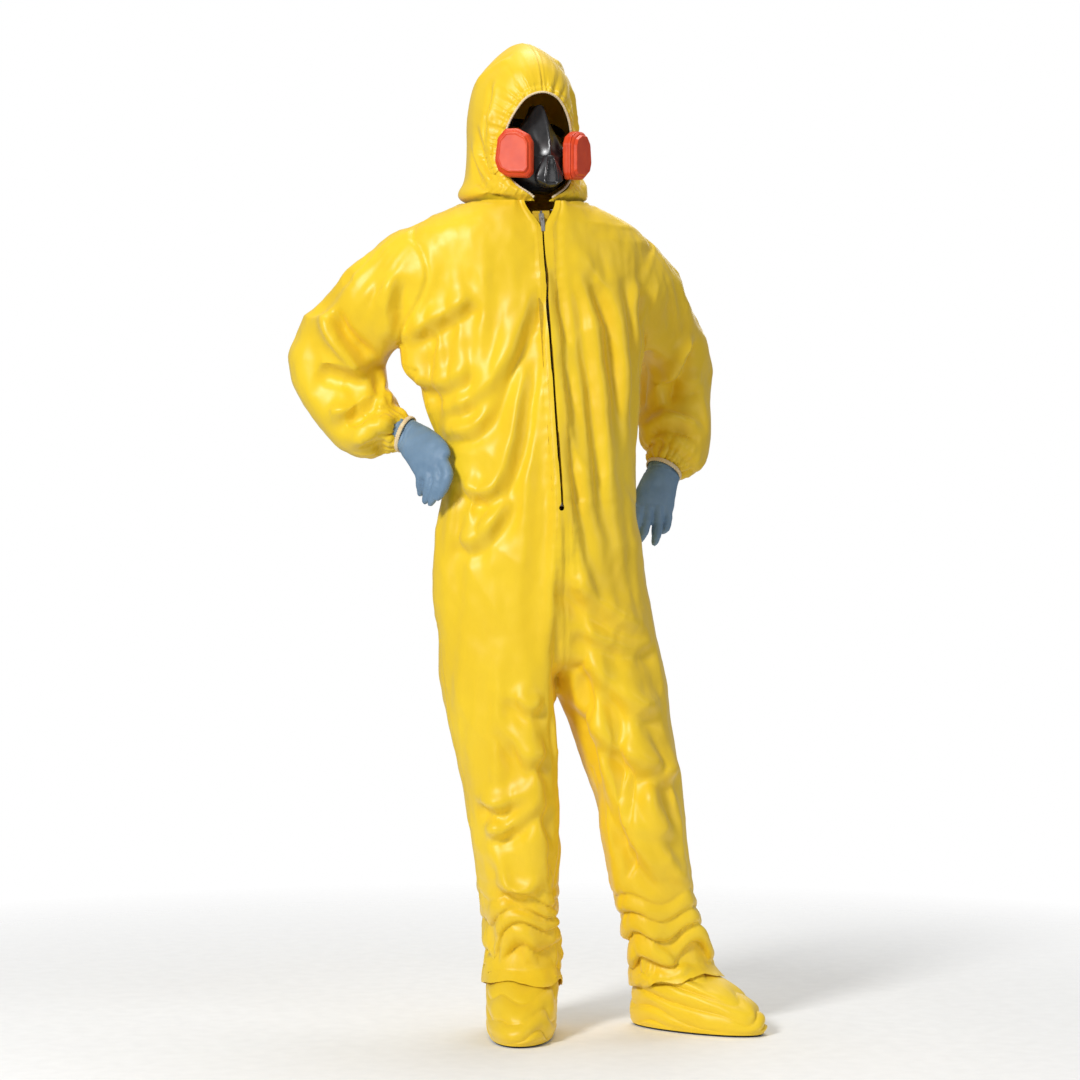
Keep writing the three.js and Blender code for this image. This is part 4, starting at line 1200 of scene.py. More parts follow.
# gloves
gloves = {
    "right": {
        "acrossWrist": (0.5, -0.1, 0.86),
        "acrossPalm": (0.68, -0.7, 0.2),
        # x, y, z, half-width, half-thickness, from the cuff to the knuckles
        "palm": [
            (-0.245, 0.050, 1.131, 0.031, 0.030), (-0.218, 0.0315, 1.1175, 0.030, 0.028),
            (-0.203, -0.008, 1.098, 0.038, 0.020),
            (-0.190, -0.040, 1.076, 0.043, 0.016), (-0.183, -0.058, 1.058, 0.042, 0.013),
        ],
        # each finger runs from its knuckle to its tip: x, y, z, radius
        "fingers": [
            [(-0.168, -0.068, 1.066, 0.011), (-0.164, -0.088, 1.042, 0.011),
            (-0.174, -0.082, 1.012, 0.0095), (-0.180, -0.076, 0.998, 0.006)],
            [(-0.180, -0.056, 1.064, 0.011), (-0.178, -0.074, 1.030, 0.011),
            (-0.187, -0.064, 1.000, 0.0095), (-0.191, -0.058, 0.988, 0.006)],
            [(-0.192, -0.044, 1.062, 0.011), (-0.192, -0.056, 1.030, 0.011),
            (-0.195, -0.046, 1.002, 0.0095), (-0.198, -0.040, 0.992, 0.006)],
            [(-0.202, -0.032, 1.064, 0.010), (-0.206, -0.038, 1.036, 0.010),
            (-0.203, -0.028, 1.014, 0.0085), (-0.204, -0.022, 1.006, 0.0055)],
            [(-0.196, 0.008, 1.088, 0.013), (-0.182, 0.030, 1.078, 0.012),
            (-0.172, 0.050, 1.072, 0.0105), (-0.168, 0.062, 1.068, 0.0065)],
        ],
    },
    "left": {
        "acrossWrist": (0.86, 0.22, -0.46),
        "acrossPalm": (0.95, 0.26, -0.1),
        "palm": [
            (0.304, 0.112, 1.084, 0.031, 0.030), (0.294, 0.100, 1.050, 0.032, 0.030),
            (0.282, 0.090, 1.024, 0.038, 0.020),
            (0.270, 0.078, 0.996, 0.043, 0.016), (0.264, 0.070, 0.974, 0.042, 0.013),
        ],
        "fingers": [
            [(0.233, 0.060, 0.982, 0.011), (0.226, 0.050, 0.958, 0.011),
            (0.222, 0.056, 0.938, 0.0095), (0.221, 0.064, 0.928, 0.006)],
            [(0.252, 0.064, 0.982, 0.011), (0.247, 0.054, 0.954, 0.011),
            (0.240, 0.054, 0.930, 0.0095), (0.237, 0.058, 0.918, 0.006)],
            [(0.272, 0.069, 0.982, 0.011), (0.271, 0.060, 0.950, 0.011),
            (0.267, 0.056, 0.924, 0.0095), (0.264, 0.058, 0.912, 0.006)],
            [(0.291, 0.076, 0.984, 0.010), (0.294, 0.072, 0.958, 0.010),
            (0.291, 0.080, 0.940, 0.0085), (0.287, 0.090, 0.934, 0.0055)],
            [(0.262, 0.092, 1.012, 0.013), (0.246, 0.102, 0.994, 0.012),
            (0.232, 0.106, 0.980, 0.0105), (0.224, 0.106, 0.972, 0.0065)],
        ],
    },
    "voxel": 0.0026,
    "crease": 0.0009,
}


def handTube(name, rows, acrossFirst, acrossLast, count, power, sides=28):
    wide = [(*row[:3], row[3], row[-1]) for row in rows]
    table = throughRows(wide, count)
    spine = table[:, :3]
    run = np.gradient(spine, axis=0)
    run /= np.linalg.norm(run, axis=1)[:, None]
    turn = np.linspace(0, 2 * math.pi, sides, endpoint=False)
    c, s = np.cos(turn), np.sin(turn)
    c, s = np.sign(c) * np.abs(c) ** (2 / power), np.sign(s) * np.abs(s) ** (2 / power)
    rings = []
    for i in range(count):
        share = min(1, 2 * i / (count - 1))
        side = np.array(acrossFirst) * (1 - share) + np.array(acrossLast) * share
        side = side - run[i] * (side @ run[i])
        side /= np.linalg.norm(side)
        deep = np.cross(run[i], side)
        rings.append(spine[i] + np.outer(c * table[i, 3], side) + np.outer(s * table[i, 4], deep))
    tip = spine[-1] + run[-1] * table[-1, 4] * 0.7
    rings.append((rings[-1] - spine[-1]) * 0.55 + tip)
    return tubeMesh(name, rings)


def makeGlove(side, rubber):
    glove = gloves[side]
    parts = [handTube("palm", glove["palm"], glove["acrossWrist"], glove["acrossPalm"], 40, 2.3)]
    parts += [handTube("finger", row, glove["acrossPalm"], glove["acrossPalm"], 22, 2.0)
        for row in glove["fingers"]]
    name = side + "GloveRubber"
    obj = addObject(name, joined(name, parts))
    remeshed(obj, gloves["voxel"])
    mesh = obj.data
    relaxed(mesh, 4)
    cuff = np.array(glove["palm"][0][:3])
    run = np.array(glove["palm"][1][:3]) - cuff
    run /= np.linalg.norm(run)
    cutAway(mesh, cuff + run * 0.002, -run, 0.08)
    verts, normal = points(mesh), normals(mesh)
    lift = np.zeros(len(verts))
    # the rubber bunches at the wrist, and creases across each finger joint
    along = (verts - cuff) @ run
    wrist = np.exp(-(((along - 0.034) / 0.016) ** 2)) * smoothStep(0.09, 0.06,
        np.linalg.norm(verts - cuff, axis=1))
    lift += wrist * 0.0011 * np.sin(along * 2 * math.pi / 0.0085 + 1.5 * np.sin(verts[:, 2] * 180))
    for finger in glove["fingers"]:
        for row in (1, 2):
            joint = np.array(finger[row][:3])
            way = np.array(finger[row + 1][:3]) - joint
            way /= np.linalg.norm(way)
            off = verts - joint
            level = off @ way
            near = (np.linalg.norm(off, axis=1) < 0.019).astype(float)
            first, second = ((level / 0.0013) ** 2), (((level - 0.0042) / 0.0012) ** 2)
            lift -= near * gloves["crease"] * (np.exp(-first) + 0.7 * np.exp(-second))
    soft = np.array([noise.noise(Vector(v * 70)) for v in verts])
    lift += soft * 0.0010
    setPoints(mesh, verts + normal * lift[:, None] + np.array(origin))
    subdivided(obj)
    obj.data.shade_smooth()
    obj.data.materials.append(rubber)
    return obj


# respirator
mask = {
    "at": (-0.0016, -0.070, -0.008),
    "turn": 4.5,
    # height, half-width, depth in front of the face, nose ridge
    "rows": [
        (0.083, 0.004, 0.030, 0.001), (0.078, 0.0085, 0.036, 0.004), (0.060, 0.0165, 0.044, 0.010),
        (0.030, 0.036, 0.054, 0.014),
        (0.005, 0.0485, 0.062, 0.013), (-0.020, 0.0555, 0.068, 0.006), (-0.050, 0.0515, 0.063, 0.0),
        (-0.070, 0.0400, 0.044, 0.0), (-0.078, 0.030, 0.026, 0.0),
    ],
    "rim": 0.0035,
    "wall": 0.0022,
    "voxel": 0.0022,
    "cartridgeAt": (0.064, -0.056, -0.012),
    "portAngle": 36.87,
    "shellBack": 0.014,
    "portRadius": 0.015,
    "outletHeight": -0.042,
    "cornerCut": 0.0032,
    # outward from the mask, up
    "cartridge": [
        (-0.034, 0.020), (-0.027, 0.034), (-0.007, 0.045), (0.016, 0.045), (0.031, 0.028),
        (0.036, -0.014), (0.029, -0.033), (0.013, -0.043), (-0.026, -0.045), (-0.034, -0.036),
    ],
}
maskMatrix = Matrix.Translation(origin) @ headMatrix @ Matrix.Translation(mask["at"])
maskMatrix = maskMatrix @ Matrix.Rotation(math.radians(mask["turn"]), 4, "Z")


def portPlace(sign):
    # an inlet port's own frame within the mask's
    x, y, z = mask["cartridgeAt"]
    turn = Matrix.Rotation(math.radians(mask["portAngle"] * sign), 4, "Z")
    return Matrix.Translation((x * sign, y, z)) @ turn


def placedIn(matrix, verts):
    return np.array([(matrix @ Vector(v))[:] for v in verts])


def lathe(name, profile, sides, closed=True):
    # turned about the local Y axis, from (radius, y) pairs
    turn = np.linspace(0, 2 * math.pi, sides, endpoint=False)
    rings = [np.stack([np.cos(turn) * r, np.full(sides, y), np.sin(turn) * r], axis=1)
        for r, y in profile]
    return tubeMesh(name, rings, closed)


def facepieceRings():
    rings = []
    sides = 120
    across, forward = superEllipse(sides, 2.05)
    for z, wide, deep, ridge in throughRows(mask["rows"], 90):
        ring = np.zeros((sides, 3))
        ring[:, 0] = across * wide
        nose = ridge * np.exp(-np.abs(across * wide / 0.0080) ** 1.35) * (forward > 0)
        cheek = 0.0050 * math.exp(-(((z - 0.018) / 0.028) ** 2))
        cheek = cheek * np.exp(-(((np.abs(across * wide) - 0.019) / 0.008) ** 2)) * (forward > 0)
        ring[:, 1] = -forward * deep - nose + cheek
        ring[:, 2] = z
        rings.append(ring)
    return rings


def makeFacepiece(rubber):
    parts = [tubeMesh("face shell", facepieceRings())]
    back, radius = mask["shellBack"], mask["portRadius"]
    for sign in (-1, 1):
        boss = lathe("boss", [(radius + 0.0035, back + 0.0036), (radius + 0.0045, back + 0.006),
            (radius + 0.0060, back + 0.014), (radius + 0.011, back + 0.026)], 48)
        setPoints(boss, placedIn(portPlace(sign), points(boss)))
        parts.append(boss)
    obj = addObject("facepieceRubber", joined("facepieceRubber", parts))
    remeshed(obj, mask["voxel"])
    mesh = obj.data
    relaxed(mesh, 3)
    bm = bmesh.new()
    bm.from_mesh(mesh)
    geom = bm.verts[:] + bm.edges[:] + bm.faces[:]
    bmesh.ops.bisect_plane(bm, geom=geom, dist=1e-5, plane_co=(0, 0.004, 0), plane_no=(0, 1, 0),
        clear_outer=True)
    outlet = Vector((0, 0, mask["outletHeight"]))
    inward = {sign: portPlace(sign).inverted() for sign in (-1, 1)}
    gone = []
    for face in bm.faces:
        c = face.calc_center_median()
        if c.y < -0.03 and math.hypot(c.x - outlet.x, c.z - outlet.z) < 0.0128:
            gone.append(face)
            continue
        for sign in (-1, 1):
            local = inward[sign] @ c
            if math.hypot(local.x, local.z) < radius and local.y < back + 0.012:
                gone.append(face)
                break
    bmesh.ops.delete(bm, geom=gone, context="FACES")
    loose = [v for v in bm.verts if not v.link_faces]
    bmesh.ops.delete(bm, geom=loose, context="VERTS")
    bm.to_mesh(mesh)
    bm.free()
    verts, normal = points(mesh), normals(mesh)
    # a rolled sealing rim round the back, and a raised frame above the outlet
    rim = np.exp(-(((verts[:, 1] - 0.001) / mask["rim"]) ** 2)) * 0.0016
    fromCollar = (verts[:, 2] + 0.022 - 0.22 * np.abs(verts[:, 0])) / 0.0022
    onFace = (verts[:, 1] < -0.03) * (np.abs(verts[:, 0]) < 0.040)
    collar = np.exp(-(fromCollar ** 2)) * onFace * 0.0014
    verts = verts + normal * (rim + collar)[:, None]
    setPoints(mesh, placedIn(maskMatrix, verts))
    solidify = obj.modifiers.new("wall", "SOLIDIFY")
    solidify.thickness = mask["wall"]
    solidify.offset = -1
    applied(obj)
    subdivided(obj)
    obj.data.shade_smooth()
    obj.data.materials.append(rubber)
    return obj


def roundedOutline(corners, cut, steps=5):
    # straight sides with each corner rounded off
    corners = np.array(corners, dtype=float)
    out = []
    for i, corner in enumerate(corners):
        before, after = corners[i - 1] - corner, corners[(i + 1) % len(corners)] - corner
        reach = min(cut, 0.45 * np.linalg.norm(before), 0.45 * np.linalg.norm(after))
        a = corner + before / np.linalg.norm(before) * reach
        b = corner + after / np.linalg.norm(after) * reach
        for t in np.linspace(0, 1, steps):
            out.append(a * (1 - t) ** 2 + corner * 2 * t * (1 - t) + b * t * t)
    return np.array(out)


def moulded(name, corners, layers, cut, material, matrix, sign=1):
    # rings of the same outline, drawn in and set at each depth: (inset, y)
    outline = roundedOutline(corners, cut)
    middle = outline.mean(axis=0)
    size = np.abs(outline - middle).max()
    rings = []
    for inset, y in layers:
        flat = middle + (outline - middle) * (1 - inset / size)
        rings.append(np.stack([flat[:, 0] * sign, np.full(len(flat), y), flat[:, 1]], axis=1))
    mesh = tubeMesh(name, rings)
    facingOut(mesh)
    setPoints(mesh, placedIn(matrix, points(mesh)))
    mesh.materials.append(material)
    obj = addObject(name, mesh)
    bevel = obj.modifiers.new("edges", "BEVEL")
    bevel.width, bevel.segments = 0.0005, 2
    bevel.limit_method, bevel.angle_limit = "ANGLE", math.radians(25)
    applied(obj)
    obj.data.shade_smooth()
    weighted = obj.modifiers.new("even", "WEIGHTED_NORMAL")
    weighted.keep_sharp = False
    applied(obj)
    return obj


def makeCartridge(side, sign, plastic):
    matrix = maskMatrix @ portPlace(sign)
    cover = moulded(
        side + "CartridgeLid", mask["cartridge"],
        [
            (0.006, -0.0025), (0.0012, -0.0025), (0.0010, -0.0036), (0.0044, -0.0072),
            (0.0058, -0.0076), (0.0066, -0.0078),
            (0.0070, -0.0090), (0.0088, -0.0124), (0.0096, -0.0130), (0.0112, -0.0130),
            (0.0118, -0.0124), (0.0135, -0.0122),
        ],
        mask["cornerCut"], plastic, matrix, sign,
    )
    shell = moulded(
        side + "CartridgeCan", mask["cartridge"],
        [
            (0.003, -0.0019), (0.0004, -0.0019), (0.0, -0.0012), (0.0, 0.0022), (0.0010, 0.0026),
            (0.0010, 0.0036), (0.0, 0.0040),
            (0.0, 0.0118), (0.0012, 0.0138), (0.0030, 0.0140), (0.0220, 0.0140),
        ],
        mask["cornerCut"], plastic, matrix, sign,
    )
    return cover, shell


def makeOutletCover(plastic):
    # a fan of three facets with a raised lip round its foot and two ribs between the facets
    z0 = mask["outletHeight"]
    columns = 49
    rows = 30
    verts = []
    for i in range(rows):
        t = i / (rows - 1)
        half = np.interp(t, [0, 0.06, 0.70, 0.86, 1.0], [0.0085, 0.0120, 0.0262, 0.0262, 0.0180])
        z = z0 + 0.029 - 0.055 * t
        for j in range(columns):
            u = -1 + 2 * j / (columns - 1)
            arch = -0.0775 - 0.0065 * math.sin(math.pi * min(1, 0.15 + t * 0.85) * 0.9)
            arch = arch + 0.009 * abs(u) ** 2.2 + 0.004 * (1 - t)
            facet = 0.0026 * (1 - smoothStep(0.36, 0.46, abs(u))) * smoothStep(0.12, 0.3, t)
            rib = -0.0030 * math.exp(-(((abs(u) - 0.44) / 0.06) ** 2))
            rib = rib * smoothStep(0.04, 0.2, t) * smoothStep(0.92, 0.80, t)
            lip = -0.0024 * math.exp(-(((t - 0.90 + 0.05 * u * u) / 0.035) ** 2))
            drop = 0.006 * smoothStep(0.93, 1.0, t) + 0.004 * smoothStep(0.06, 0.0, t)
            verts.append((u * half, arch + facet + rib + lip + drop, z - 0.006 * (1 - u * u) * t))
    faces = []
    for i in range(rows - 1):
        for j in range(columns - 1):
            a = i * columns + j
            faces.append((a, a + 1, a + columns + 1, a + columns))
    mesh = meshFrom("outletCover", verts, faces)
    bm = bmesh.new()
    bm.from_mesh(mesh)
    # the sides of the cover run back to the facepiece
    edges = [e for e in bm.edges if e.is_boundary]
    grown = bmesh.ops.extrude_edge_only(bm, edges=edges)
    for v in (g for g in grown["geom"] if isinstance(g, bmesh.types.BMVert)):
        v.co.y += 0.016
        v.co.x *= 0.96
    bmesh.ops.recalc_face_normals(bm, faces=bm.faces)
    bm.to_mesh(mesh)
    bm.free()
    if sum(p.normal.y for p in mesh.polygons) > 0:
        mesh.flip_normals()
    setPoints(mesh, placedIn(maskMatrix, points(mesh)))
    obj = addObject("outletCover", mesh)
    solidify = obj.modifiers.new("wall", "SOLIDIFY")
    solidify.thickness = 0.0015
    solidify.offset = -1
    applied(obj)
    subdivided(obj)
    obj.data.shade_smooth()
    obj.data.materials.append(plastic)
    return obj


# head harness
straps = {
    "Upper": {"path": [(0.058, -0.058, 0.012), (0.076, -0.020, 0.026), (0.076, 0.036, 0.046),
    (0.048, 0.084, 0.060), (0.0145, 0.098, 0.064)], "half": 0.0075},
    "Lower": {"path": [(0.060, -0.056, -0.040), (0.078, -0.016, -0.052), (0.074, 0.038, -0.062),
    (0.046, 0.082, -0.068), (0.0185, 0.094, -0.070)], "half": 0.006},
    "thick": 0.0015,
}


def makeStrap(side, sign, which, webbing):
    strap = straps[which]
    path = throughRows([(x * sign, y, z) for x, y, z in strap["path"]], 90)
    run = np.gradient(path, axis=0)
    run /= np.linalg.norm(run, axis=1)[:, None]
    out = path * np.array((1, 1, 0))
    out = out - run * (out * run).sum(axis=1)[:, None]
    out /= np.linalg.norm(out, axis=1)[:, None]
    tall = np.cross(out, run)
    half, thick = strap["half"], straps["thick"] / 2
    section = [(half, -thick), (half, thick), (half * 0.5, thick * 1.15), (0, thick * 1.2),
        (-half * 0.5, thick * 1.15), (-half, thick), (-half, -thick), (0, -thick)]
    rings = [path[i] + np.array([tall[i] * a + out[i] * b for a, b in section])
        for i in range(len(path))]
    mesh = tubeMesh(side + which + "Strap", [[(headMatrix @ Vector(p) + origin)[:] for p in ring]
        for ring in rings])
    facingOut(mesh)
    mesh.shade_smooth()
    mesh.materials.append(webbing)
    return addObject(side + which + "Strap", mesh)


# materials
def newMaterial(name, colour, roughness, **more):
    material = bpy.data.materials.new(name)
    material.use_nodes = True
    shader = material.node_tree.nodes["Principled BSDF"]
    shader.inputs["Base Color"].default_value = (*colour, 1)
    shader.inputs["Roughness"].default_value = roughness
    for socket, value in more.items():
        shader.inputs[socket.replace("_", " ")].default_value = value
    return material, material.node_tree, shader


def addNoise(tree, scale, detail=3.0, stretch=(1, 1, 1)):
    place = tree.nodes.new("ShaderNodeTexCoord")
    scaleNode = tree.nodes.new("ShaderNodeMapping")
    scaleNode.inputs["Scale"].default_value = stretch
    grain = tree.nodes.new("ShaderNodeTexNoise")
    grain.inputs["Scale"].default_value = scale
    grain.inputs["Detail"].default_value = detail
    tree.links.new(place.outputs["Object"], scaleNode.inputs["Vector"])
    tree.links.new(scaleNode.outputs["Vector"], grain.inputs["Vector"])
    return grain.outputs["Fac"]


def addWave(tree, scale, direction, distortion=0.0):
    place = tree.nodes.new("ShaderNodeTexCoord")
    wave = tree.nodes.new("ShaderNodeTexWave")
    wave.bands_direction = direction
    wave.inputs["Scale"].default_value = scale
    wave.inputs["Distortion"].default_value = distortion
    tree.links.new(place.outputs["Object"], wave.inputs["Vector"])
    return wave.outputs["Fac"]


def tintBy(tree, shader, source, low, high, start=0.3, end=0.7):
    ramp = tree.nodes.new("ShaderNodeValToRGB")
    ramp.color_ramp.elements[0].position, ramp.color_ramp.elements[0].color = start, (*low, 1)
    ramp.color_ramp.elements[1].position, ramp.color_ramp.elements[1].color = end, (*high, 1)
    tree.links.new(source, ramp.inputs["Fac"])
    tree.links.new(ramp.outputs["Color"], shader.inputs["Base Color"])
    return ramp


def roughBy(tree, shader, source, low, high):
    spread = tree.nodes.new("ShaderNodeMapRange")
    spread.inputs["To Min"].default_value, spread.inputs["To Max"].default_value = low, high
    tree.links.new(source, spread.inputs["Value"])
    tree.links.new(spread.outputs["Result"], shader.inputs["Roughness"])


def bumpBy(tree, shader, layers):
    # layers: (source, strength, distance), the coarsest first
    last = None
    for source, strength, distance in layers:
        bump = tree.nodes.new("ShaderNodeBump")
        bump.inputs["Strength"].default_value = strength
        bump.inputs["Distance"].default_value = distance
        tree.links.new(source, bump.inputs["Height"])
        if last:
            tree.links.new(last.outputs["Normal"], bump.inputs["Normal"])
        last = bump
    tree.links.new(last.outputs["Normal"], shader.inputs["Normal"])


def coatedFabric():
    material, tree, shader = newMaterial("yellowCoatedFabric", (0.89, 0.60, 0.014), 0.40,
        Specular_IOR_Level=0.42, Sheen_Weight=0.12, Sheen_Roughness=0.5)
    broad = addNoise(tree, 5.5, 4)
    tintBy(tree, shader, broad, (0.82, 0.53, 0.010), (0.93, 0.65, 0.020), 0.25, 0.75)
    roughBy(tree, shader, addNoise(tree, 38, 4), 0.34, 0.47)
    bumpBy(tree, shader, [
        (addNoise(tree, 48, 5, (1, 1, 0.6)), 0.22, 0.0014),
        (addWave(tree, 270, "Z"), 0.10, 0.0003),
        (addWave(tree, 270, "X"), 0.10, 0.0003),
    ])
    return material


def threadMaterial():
    material, tree, shader = newMaterial("sewingThread", (0.80, 0.52, 0.020), 0.7)
    tintBy(tree, shader, addNoise(tree, 300, 2), (0.70, 0.44, 0.012), (0.88, 0.60, 0.03))
    bumpBy(tree, shader, [(addWave(tree, 900, "DIAGONAL"), 0.5, 0.0002)])
    return material


def tapeMaterial():
    material, tree, shader = newMaterial("zipTapeWeave", (0.68, 0.42, 0.012), 0.75)
    tintBy(tree, shader, addNoise(tree, 160, 3), (0.58, 0.35, 0.010), (0.74, 0.47, 0.015))
    bumpBy(tree, shader, [(addWave(tree, 420, "Z"), 0.6, 0.0003), (addWave(tree, 420, "X"), 0.4,
        0.0003)])
    return material


def elasticMaterial():
    material, tree, shader = newMaterial("creamElasticKnit", (0.90, 0.72, 0.42), 0.75,
        Sheen_Weight=0.3)
    tintBy(tree, shader, addNoise(tree, 120, 3), (0.84, 0.62, 0.33), (0.93, 0.78, 0.50))
    bumpBy(tree, shader, [(addWave(tree, 520, "Z"), 0.5, 0.0004), (addWave(tree, 520, "DIAGONAL"),
        0.4, 0.0003)])
    return material


def gloveRubber():
    material, tree, shader = newMaterial("blueGloveRubber", (0.20, 0.34, 0.52), 0.5,
        Specular_IOR_Level=0.4)
    tintBy(tree, shader, addNoise(tree, 26, 4), (0.135, 0.230, 0.345), (0.190, 0.300, 0.430))
    roughBy(tree, shader, addNoise(tree, 90, 3), 0.42, 0.60)
    bumpBy(tree, shader, [(addNoise(tree, 160, 4), 0.25, 0.0008), (addNoise(tree, 900, 2), 0.2,
        0.0002)])
    return material


def soleMaterial():
    material, tree, shader = newMaterial("darkSoleRubber", (0.022, 0.019, 0.016), 0.85)
    tintBy(tree, shader, addNoise(tree, 60, 5), (0.014, 0.012, 0.010), (0.040, 0.034, 0.028))
    roughBy(tree, shader, addNoise(tree, 120, 3), 0.7, 0.95)
    bumpBy(tree, shader, [(addWave(tree, 130, "DIAGONAL"), 0.7, 0.0010), (addNoise(tree, 500, 3),
        0.4, 0.0004)])
    return material


def maskRubber():
    material, tree, shader = newMaterial("blackMaskRubber", (0.010, 0.010, 0.011), 0.30,
        Specular_IOR_Level=0.6)
    tintBy(tree, shader, addNoise(tree, 60, 4), (0.007, 0.007, 0.008), (0.018, 0.017, 0.018))
    roughBy(tree, shader, addNoise(tree, 110, 4), 0.22, 0.38)
    bumpBy(tree, shader, [(addNoise(tree, 700, 3), 0.15, 0.0002)])
    return material


def maskPlastic():
    material, tree, shader = newMaterial("blackMouldedPlastic", (0.014, 0.014, 0.016), 0.26,
        Specular_IOR_Level=0.6)
    tintBy(tree, shader, addNoise(tree, 90, 3), (0.010, 0.010, 0.012), (0.024, 0.024, 0.026))
    roughBy(tree, shader, addNoise(tree, 140, 3), 0.20, 0.36)
    bumpBy(tree, shader, [(addNoise(tree, 1100, 2), 0.12, 0.0002)])
    return material


def cartridgePlastic():
    material, tree, shader = newMaterial("orangeMouldedPlastic", (0.78, 0.065, 0.006), 0.42)
    tintBy(tree, shader, addNoise(tree, 40, 4), (0.66, 0.042, 0.004), (0.78, 0.070, 0.007))
    roughBy(tree, shader, addNoise(tree, 120, 4), 0.36, 0.50)
    bumpBy(tree, shader, [(addNoise(tree, 1200, 2), 0.2, 0.0002)])
    return material


def webbingMaterial():
    material, tree, shader = newMaterial("blackWebbing", (0.012, 0.012, 0.012), 0.85)
    tintBy(tree, shader, addNoise(tree, 240, 3), (0.007, 0.007, 0.007), (0.024, 0.024, 0.024))
    bumpBy(tree, shader, [(addWave(tree, 300, "Z"), 0.8, 0.0005), (addWave(tree, 300, "DIAGONAL"),
        0.6, 0.0004)])
    return material


def siliconeMaterial():
    material, tree, shader = newMaterial("clearSilicone", (0.80, 0.82, 0.83), 0.32,
        Transmission_Weight=0.35)
    tintBy(tree, shader, addNoise(tree, 90, 2), (0.74, 0.76, 0.78), (0.86, 0.87, 0.88))
    bumpBy(tree, shader, [(addNoise(tree, 600, 2), 0.1, 0.0002)])
    return material


def carbonMaterial():
    material, tree, shader = newMaterial("charcoalGranules", (0.010, 0.010, 0.010), 0.9)
    tintBy(tree, shader, addNoise(tree, 700, 2), (0.004, 0.004, 0.004), (0.045, 0.045, 0.045))
    bumpBy(tree, shader, [(addNoise(tree, 900, 2), 1.0, 0.0010)])
    return material


def nickelMaterial():
    material, tree, shader = newMaterial("greyNickel", (0.55, 0.53, 0.50), 0.30, Metallic=0.9)
    tintBy(tree, shader, addNoise(tree, 200, 4), (0.46, 0.44, 0.41), (0.62, 0.60, 0.57))
    roughBy(tree, shader, addNoise(tree, 400, 4), 0.24, 0.42)
    bumpBy(tree, shader, [(addNoise(tree, 1500, 2), 0.15, 0.0001)])
    return material


def addStudio():
    scene.view_settings.view_transform = "Standard"
    world = bpy.data.worlds.new("studio")
    scene.world = world
    world.use_nodes = True
    tree = world.node_tree
    background = tree.nodes["Background"]
    background.inputs["Color"].default_value = (1, 1, 1, 1)
    seen = tree.nodes.new("ShaderNodeLightPath")
    strength = tree.nodes.new("ShaderNodeMapRange")
    strength.inputs["To Min"].default_value = studio["ambient"]
    strength.inputs["To Max"].default_value = 1.0
    tree.links.new(seen.outputs["Is Camera Ray"], strength.inputs["Value"])
    tree.links.new(strength.outputs["Result"], background.inputs["Strength"])
    for name, (at, size, power) in studio["lights"].items():
        lamp = bpy.data.lights.new(name, "AREA")
        lamp.shape, lamp.size, lamp.energy = "DISK", size, power
        obj = bpy.data.objects.new(name, lamp)
        scene.collection.objects.link(obj)
        obj.location = at
        aim = Vector(studio["lightsAim"]) - Vector(at)
        obj.rotation_euler = aim.to_track_quat("-Z", "Y").to_euler()
    addFloor()


studio = {
    "ambient": 0.30,
    "lightsAim": (0.05, 0, 1.0),
    "lights": {
        "key": ((-3.1, -3.2, 3.2), 1.1, 185),
        "fill": ((3.2, -3.6, 1.6), 2.6, 30),
        "top": ((0.4, 0.6, 4.2), 1.8, 50),
        "back": ((1.6, 3.6, 2.4), 2.6, 28),
    },
    "floorRadius": 2.6,
    "floorFade": (0.9, 2.3),
}


def addFloor():
    turn = np.linspace(0, 2 * math.pi, 96, endpoint=False)
    rings = [np.stack([np.cos(turn) * r, np.sin(turn) * r, np.zeros(96)], axis=1)
        for r in (0.4, 1.2, studio["floorRadius"])]
    mesh = tubeMesh("studioFloor", rings, closed=False)
    bm = bmesh.new()
    bm.from_mesh(mesh)
    middle = [e for e in bm.edges if e.is_boundary and e.calc_length() < 0.05]
    bmesh.ops.contextual_create(bm, geom=middle)
    bmesh.ops.recalc_face_normals(bm, faces=bm.faces)
    bm.to_mesh(mesh)
    bm.free()
    obj = addObject("studioFloor", mesh)
    obj.location.z = -0.0006
    material, tree, shader = newMaterial("paleFloor", (0.93, 0.93, 0.92), 0.9)
    tintBy(tree, shader, addNoise(tree, 30, 3), (0.91, 0.91, 0.90), (0.95, 0.95, 0.94))
    place = tree.nodes.new("ShaderNodeTexCoord")
    length = tree.nodes.new("ShaderNodeVectorMath")
    length.operation = "LENGTH"
    fade = tree.nodes.new("ShaderNodeMapRange")
    fadeStart, fadeEnd = studio["floorFade"]
    fade.inputs["From Min"].default_value, fade.inputs["From Max"].default_value = fadeStart, fadeEnd
    fade.inputs["To Min"].default_value, fade.inputs["To Max"].default_value = 1.0, 0.0
    tree.links.new(place.outputs["Object"], length.inputs[0])
    tree.links.new(length.outputs["Value"], fade.inputs["Value"])
    tree.links.new(fade.outputs["Result"], shader.inputs["Alpha"])
    mesh.materials.append(material)


# the camera looks along forward, from this far off, at a point beside and above the origin
view = {
    "forward": (0.2079, 0.9781, 0),
    "right": (0.9781, -0.2079, 0),
    "distance": 6,
    "height": 1.0,
    "aimRight": 0.028,
    "aimUp": 0.921,
    "lens": 106.8,
    "sensor": 36,
}


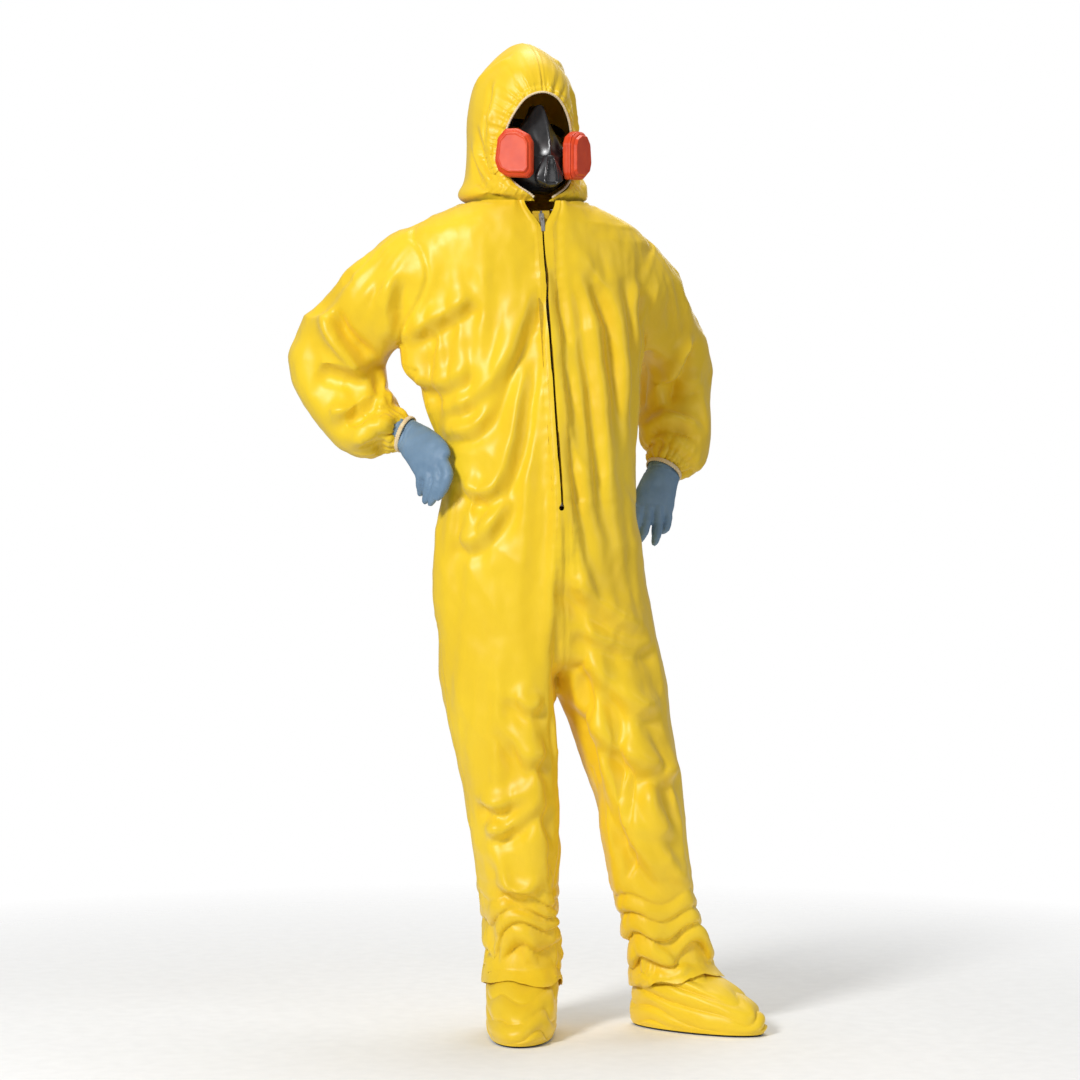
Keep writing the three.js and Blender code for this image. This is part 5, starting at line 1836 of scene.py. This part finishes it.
def addCamera():
    forward, right = Vector(view["forward"]), Vector(view["right"])
    lens = bpy.data.cameras.new("view")
    lens.lens, lens.sensor_width = view["lens"], view["sensor"]
    camera = bpy.data.objects.new("view", lens)
    scene.collection.objects.link(camera)
    camera.location = origin - forward * view["distance"] + Vector((0, 0, view["height"]))
    aim = origin + right * view["aimRight"] + Vector((0, 0, view["aimUp"]))
    camera.rotation_euler = (aim - camera.location).to_track_quat("-Z", "Y").to_euler()
    scene.camera = camera


def wear(obj, body, slotName, *replaced):
    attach(obj, body)
    if replaced:
        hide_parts(*replaced)


def paint(material, *names):
    for name in names:
        cad = nodes[name]
        cad.data.materials.clear()
        cad.data.materials.append(material)


def main():
    addCamera()
    addStudio()
    fabric, thread, elastic = coatedFabric(), threadMaterial(), elasticMaterial()
    rubber, black, plastic = gloveRubber(), maskRubber(), maskPlastic()
    orange, webbing, sole = cartridgePlastic(), webbingMaterial(), soleMaterial()
    tape, silicone = tapeMaterial(), siliconeMaterial()
    carbon, nickel = carbonMaterial(), nickelMaterial()
    report("materials ready")

    panels, stitches = finishCoverall(fabric, thread)
    for side in ("right", "left"):
        wear(panels[side + "FrontCloth"], "suit", "yellow_fabric", side + "_front_panel")
        wear(panels[side + "BackCloth"], "suit", "yellow_fabric", side + "_back_panel")
        wear(panels[side + "SleeveCloth"], "suit", "yellow_fabric", side + "_sleeve")
    wear(stitches, "suit", "yellow_fabric")
    report("coverall sewn")

    hoodPanels = makeHood(fabric)
    wear(hoodPanels["hoodRightCloth"], "suit", "yellow_fabric", "hood_right_panel")
    wear(hoodPanels["hoodLeftCloth"], "suit", "yellow_fabric", "hood_left_panel")
    wear(makeFaceElastic(elastic), "suit", "cream_elastic", "face_elastic")
    report("hood gathered")

    for side, sign in (("right", -1), ("left", 1)):
        wear(makeWristElastic(side + "WristBinding", shape[side + "Sleeve"], elastic), "suit",
            "cream_elastic", side + "_wrist_elastic")
        wear(makeBoot(side, fabric), "suit", "yellow_fabric", side + "_boot_cover")
        wear(makeAnkleElastic(side, elastic), "suit", "cream_elastic", side + "_ankle_elastic")
        wear(makeGlove(side, rubber), "suit", "blue_rubber", side + "_glove")
        lid, can = makeCartridge(side, sign, orange)
        wear(lid, side + "_cartridge", "orange_plastic", side + "_cartridge_cover")
        wear(can, side + "_cartridge", "orange_plastic", side + "_cartridge_shell")
        for which in ("Upper", "Lower"):
            wear(makeStrap(side, sign, which, webbing), "suit", "black_webbing",
                f"{side}_{which.lower()}_strap")
    report("boots, gloves, cartridges and straps made")

    wear(makeFacepiece(black), "suit", "black_rubber", "facepiece")
    wear(makeOutletCover(plastic), "suit", "black_plastic", "exhalation_cover")
    report("respirator made")

    paint(sole, "right_sole", "left_sole")
    paint(tape, "zip_tape_right", "zip_tape_left")
    paint(plastic, "zip_teeth_right", "zip_teeth_left", "right_inhalation_port",
        "left_inhalation_port", "exhalation_seat")
    paint(plastic, "head_cradle", "neck_clasp_eye", "neck_clasp_hook")
    paint(silicone, "exhalation_flap", "right_inhalation_flap", "left_inhalation_flap")
    paint(black, "right_cartridge_gasket", "left_cartridge_gasket")
    paint(carbon, "right_carbon_bed", "left_carbon_bed")
    paint(nickel, "zip_slider", "zip_puller", "zip_bottom_stop", "zip_top_stop_right",
        "zip_top_stop_left")
    report("frame parts finished")


main()
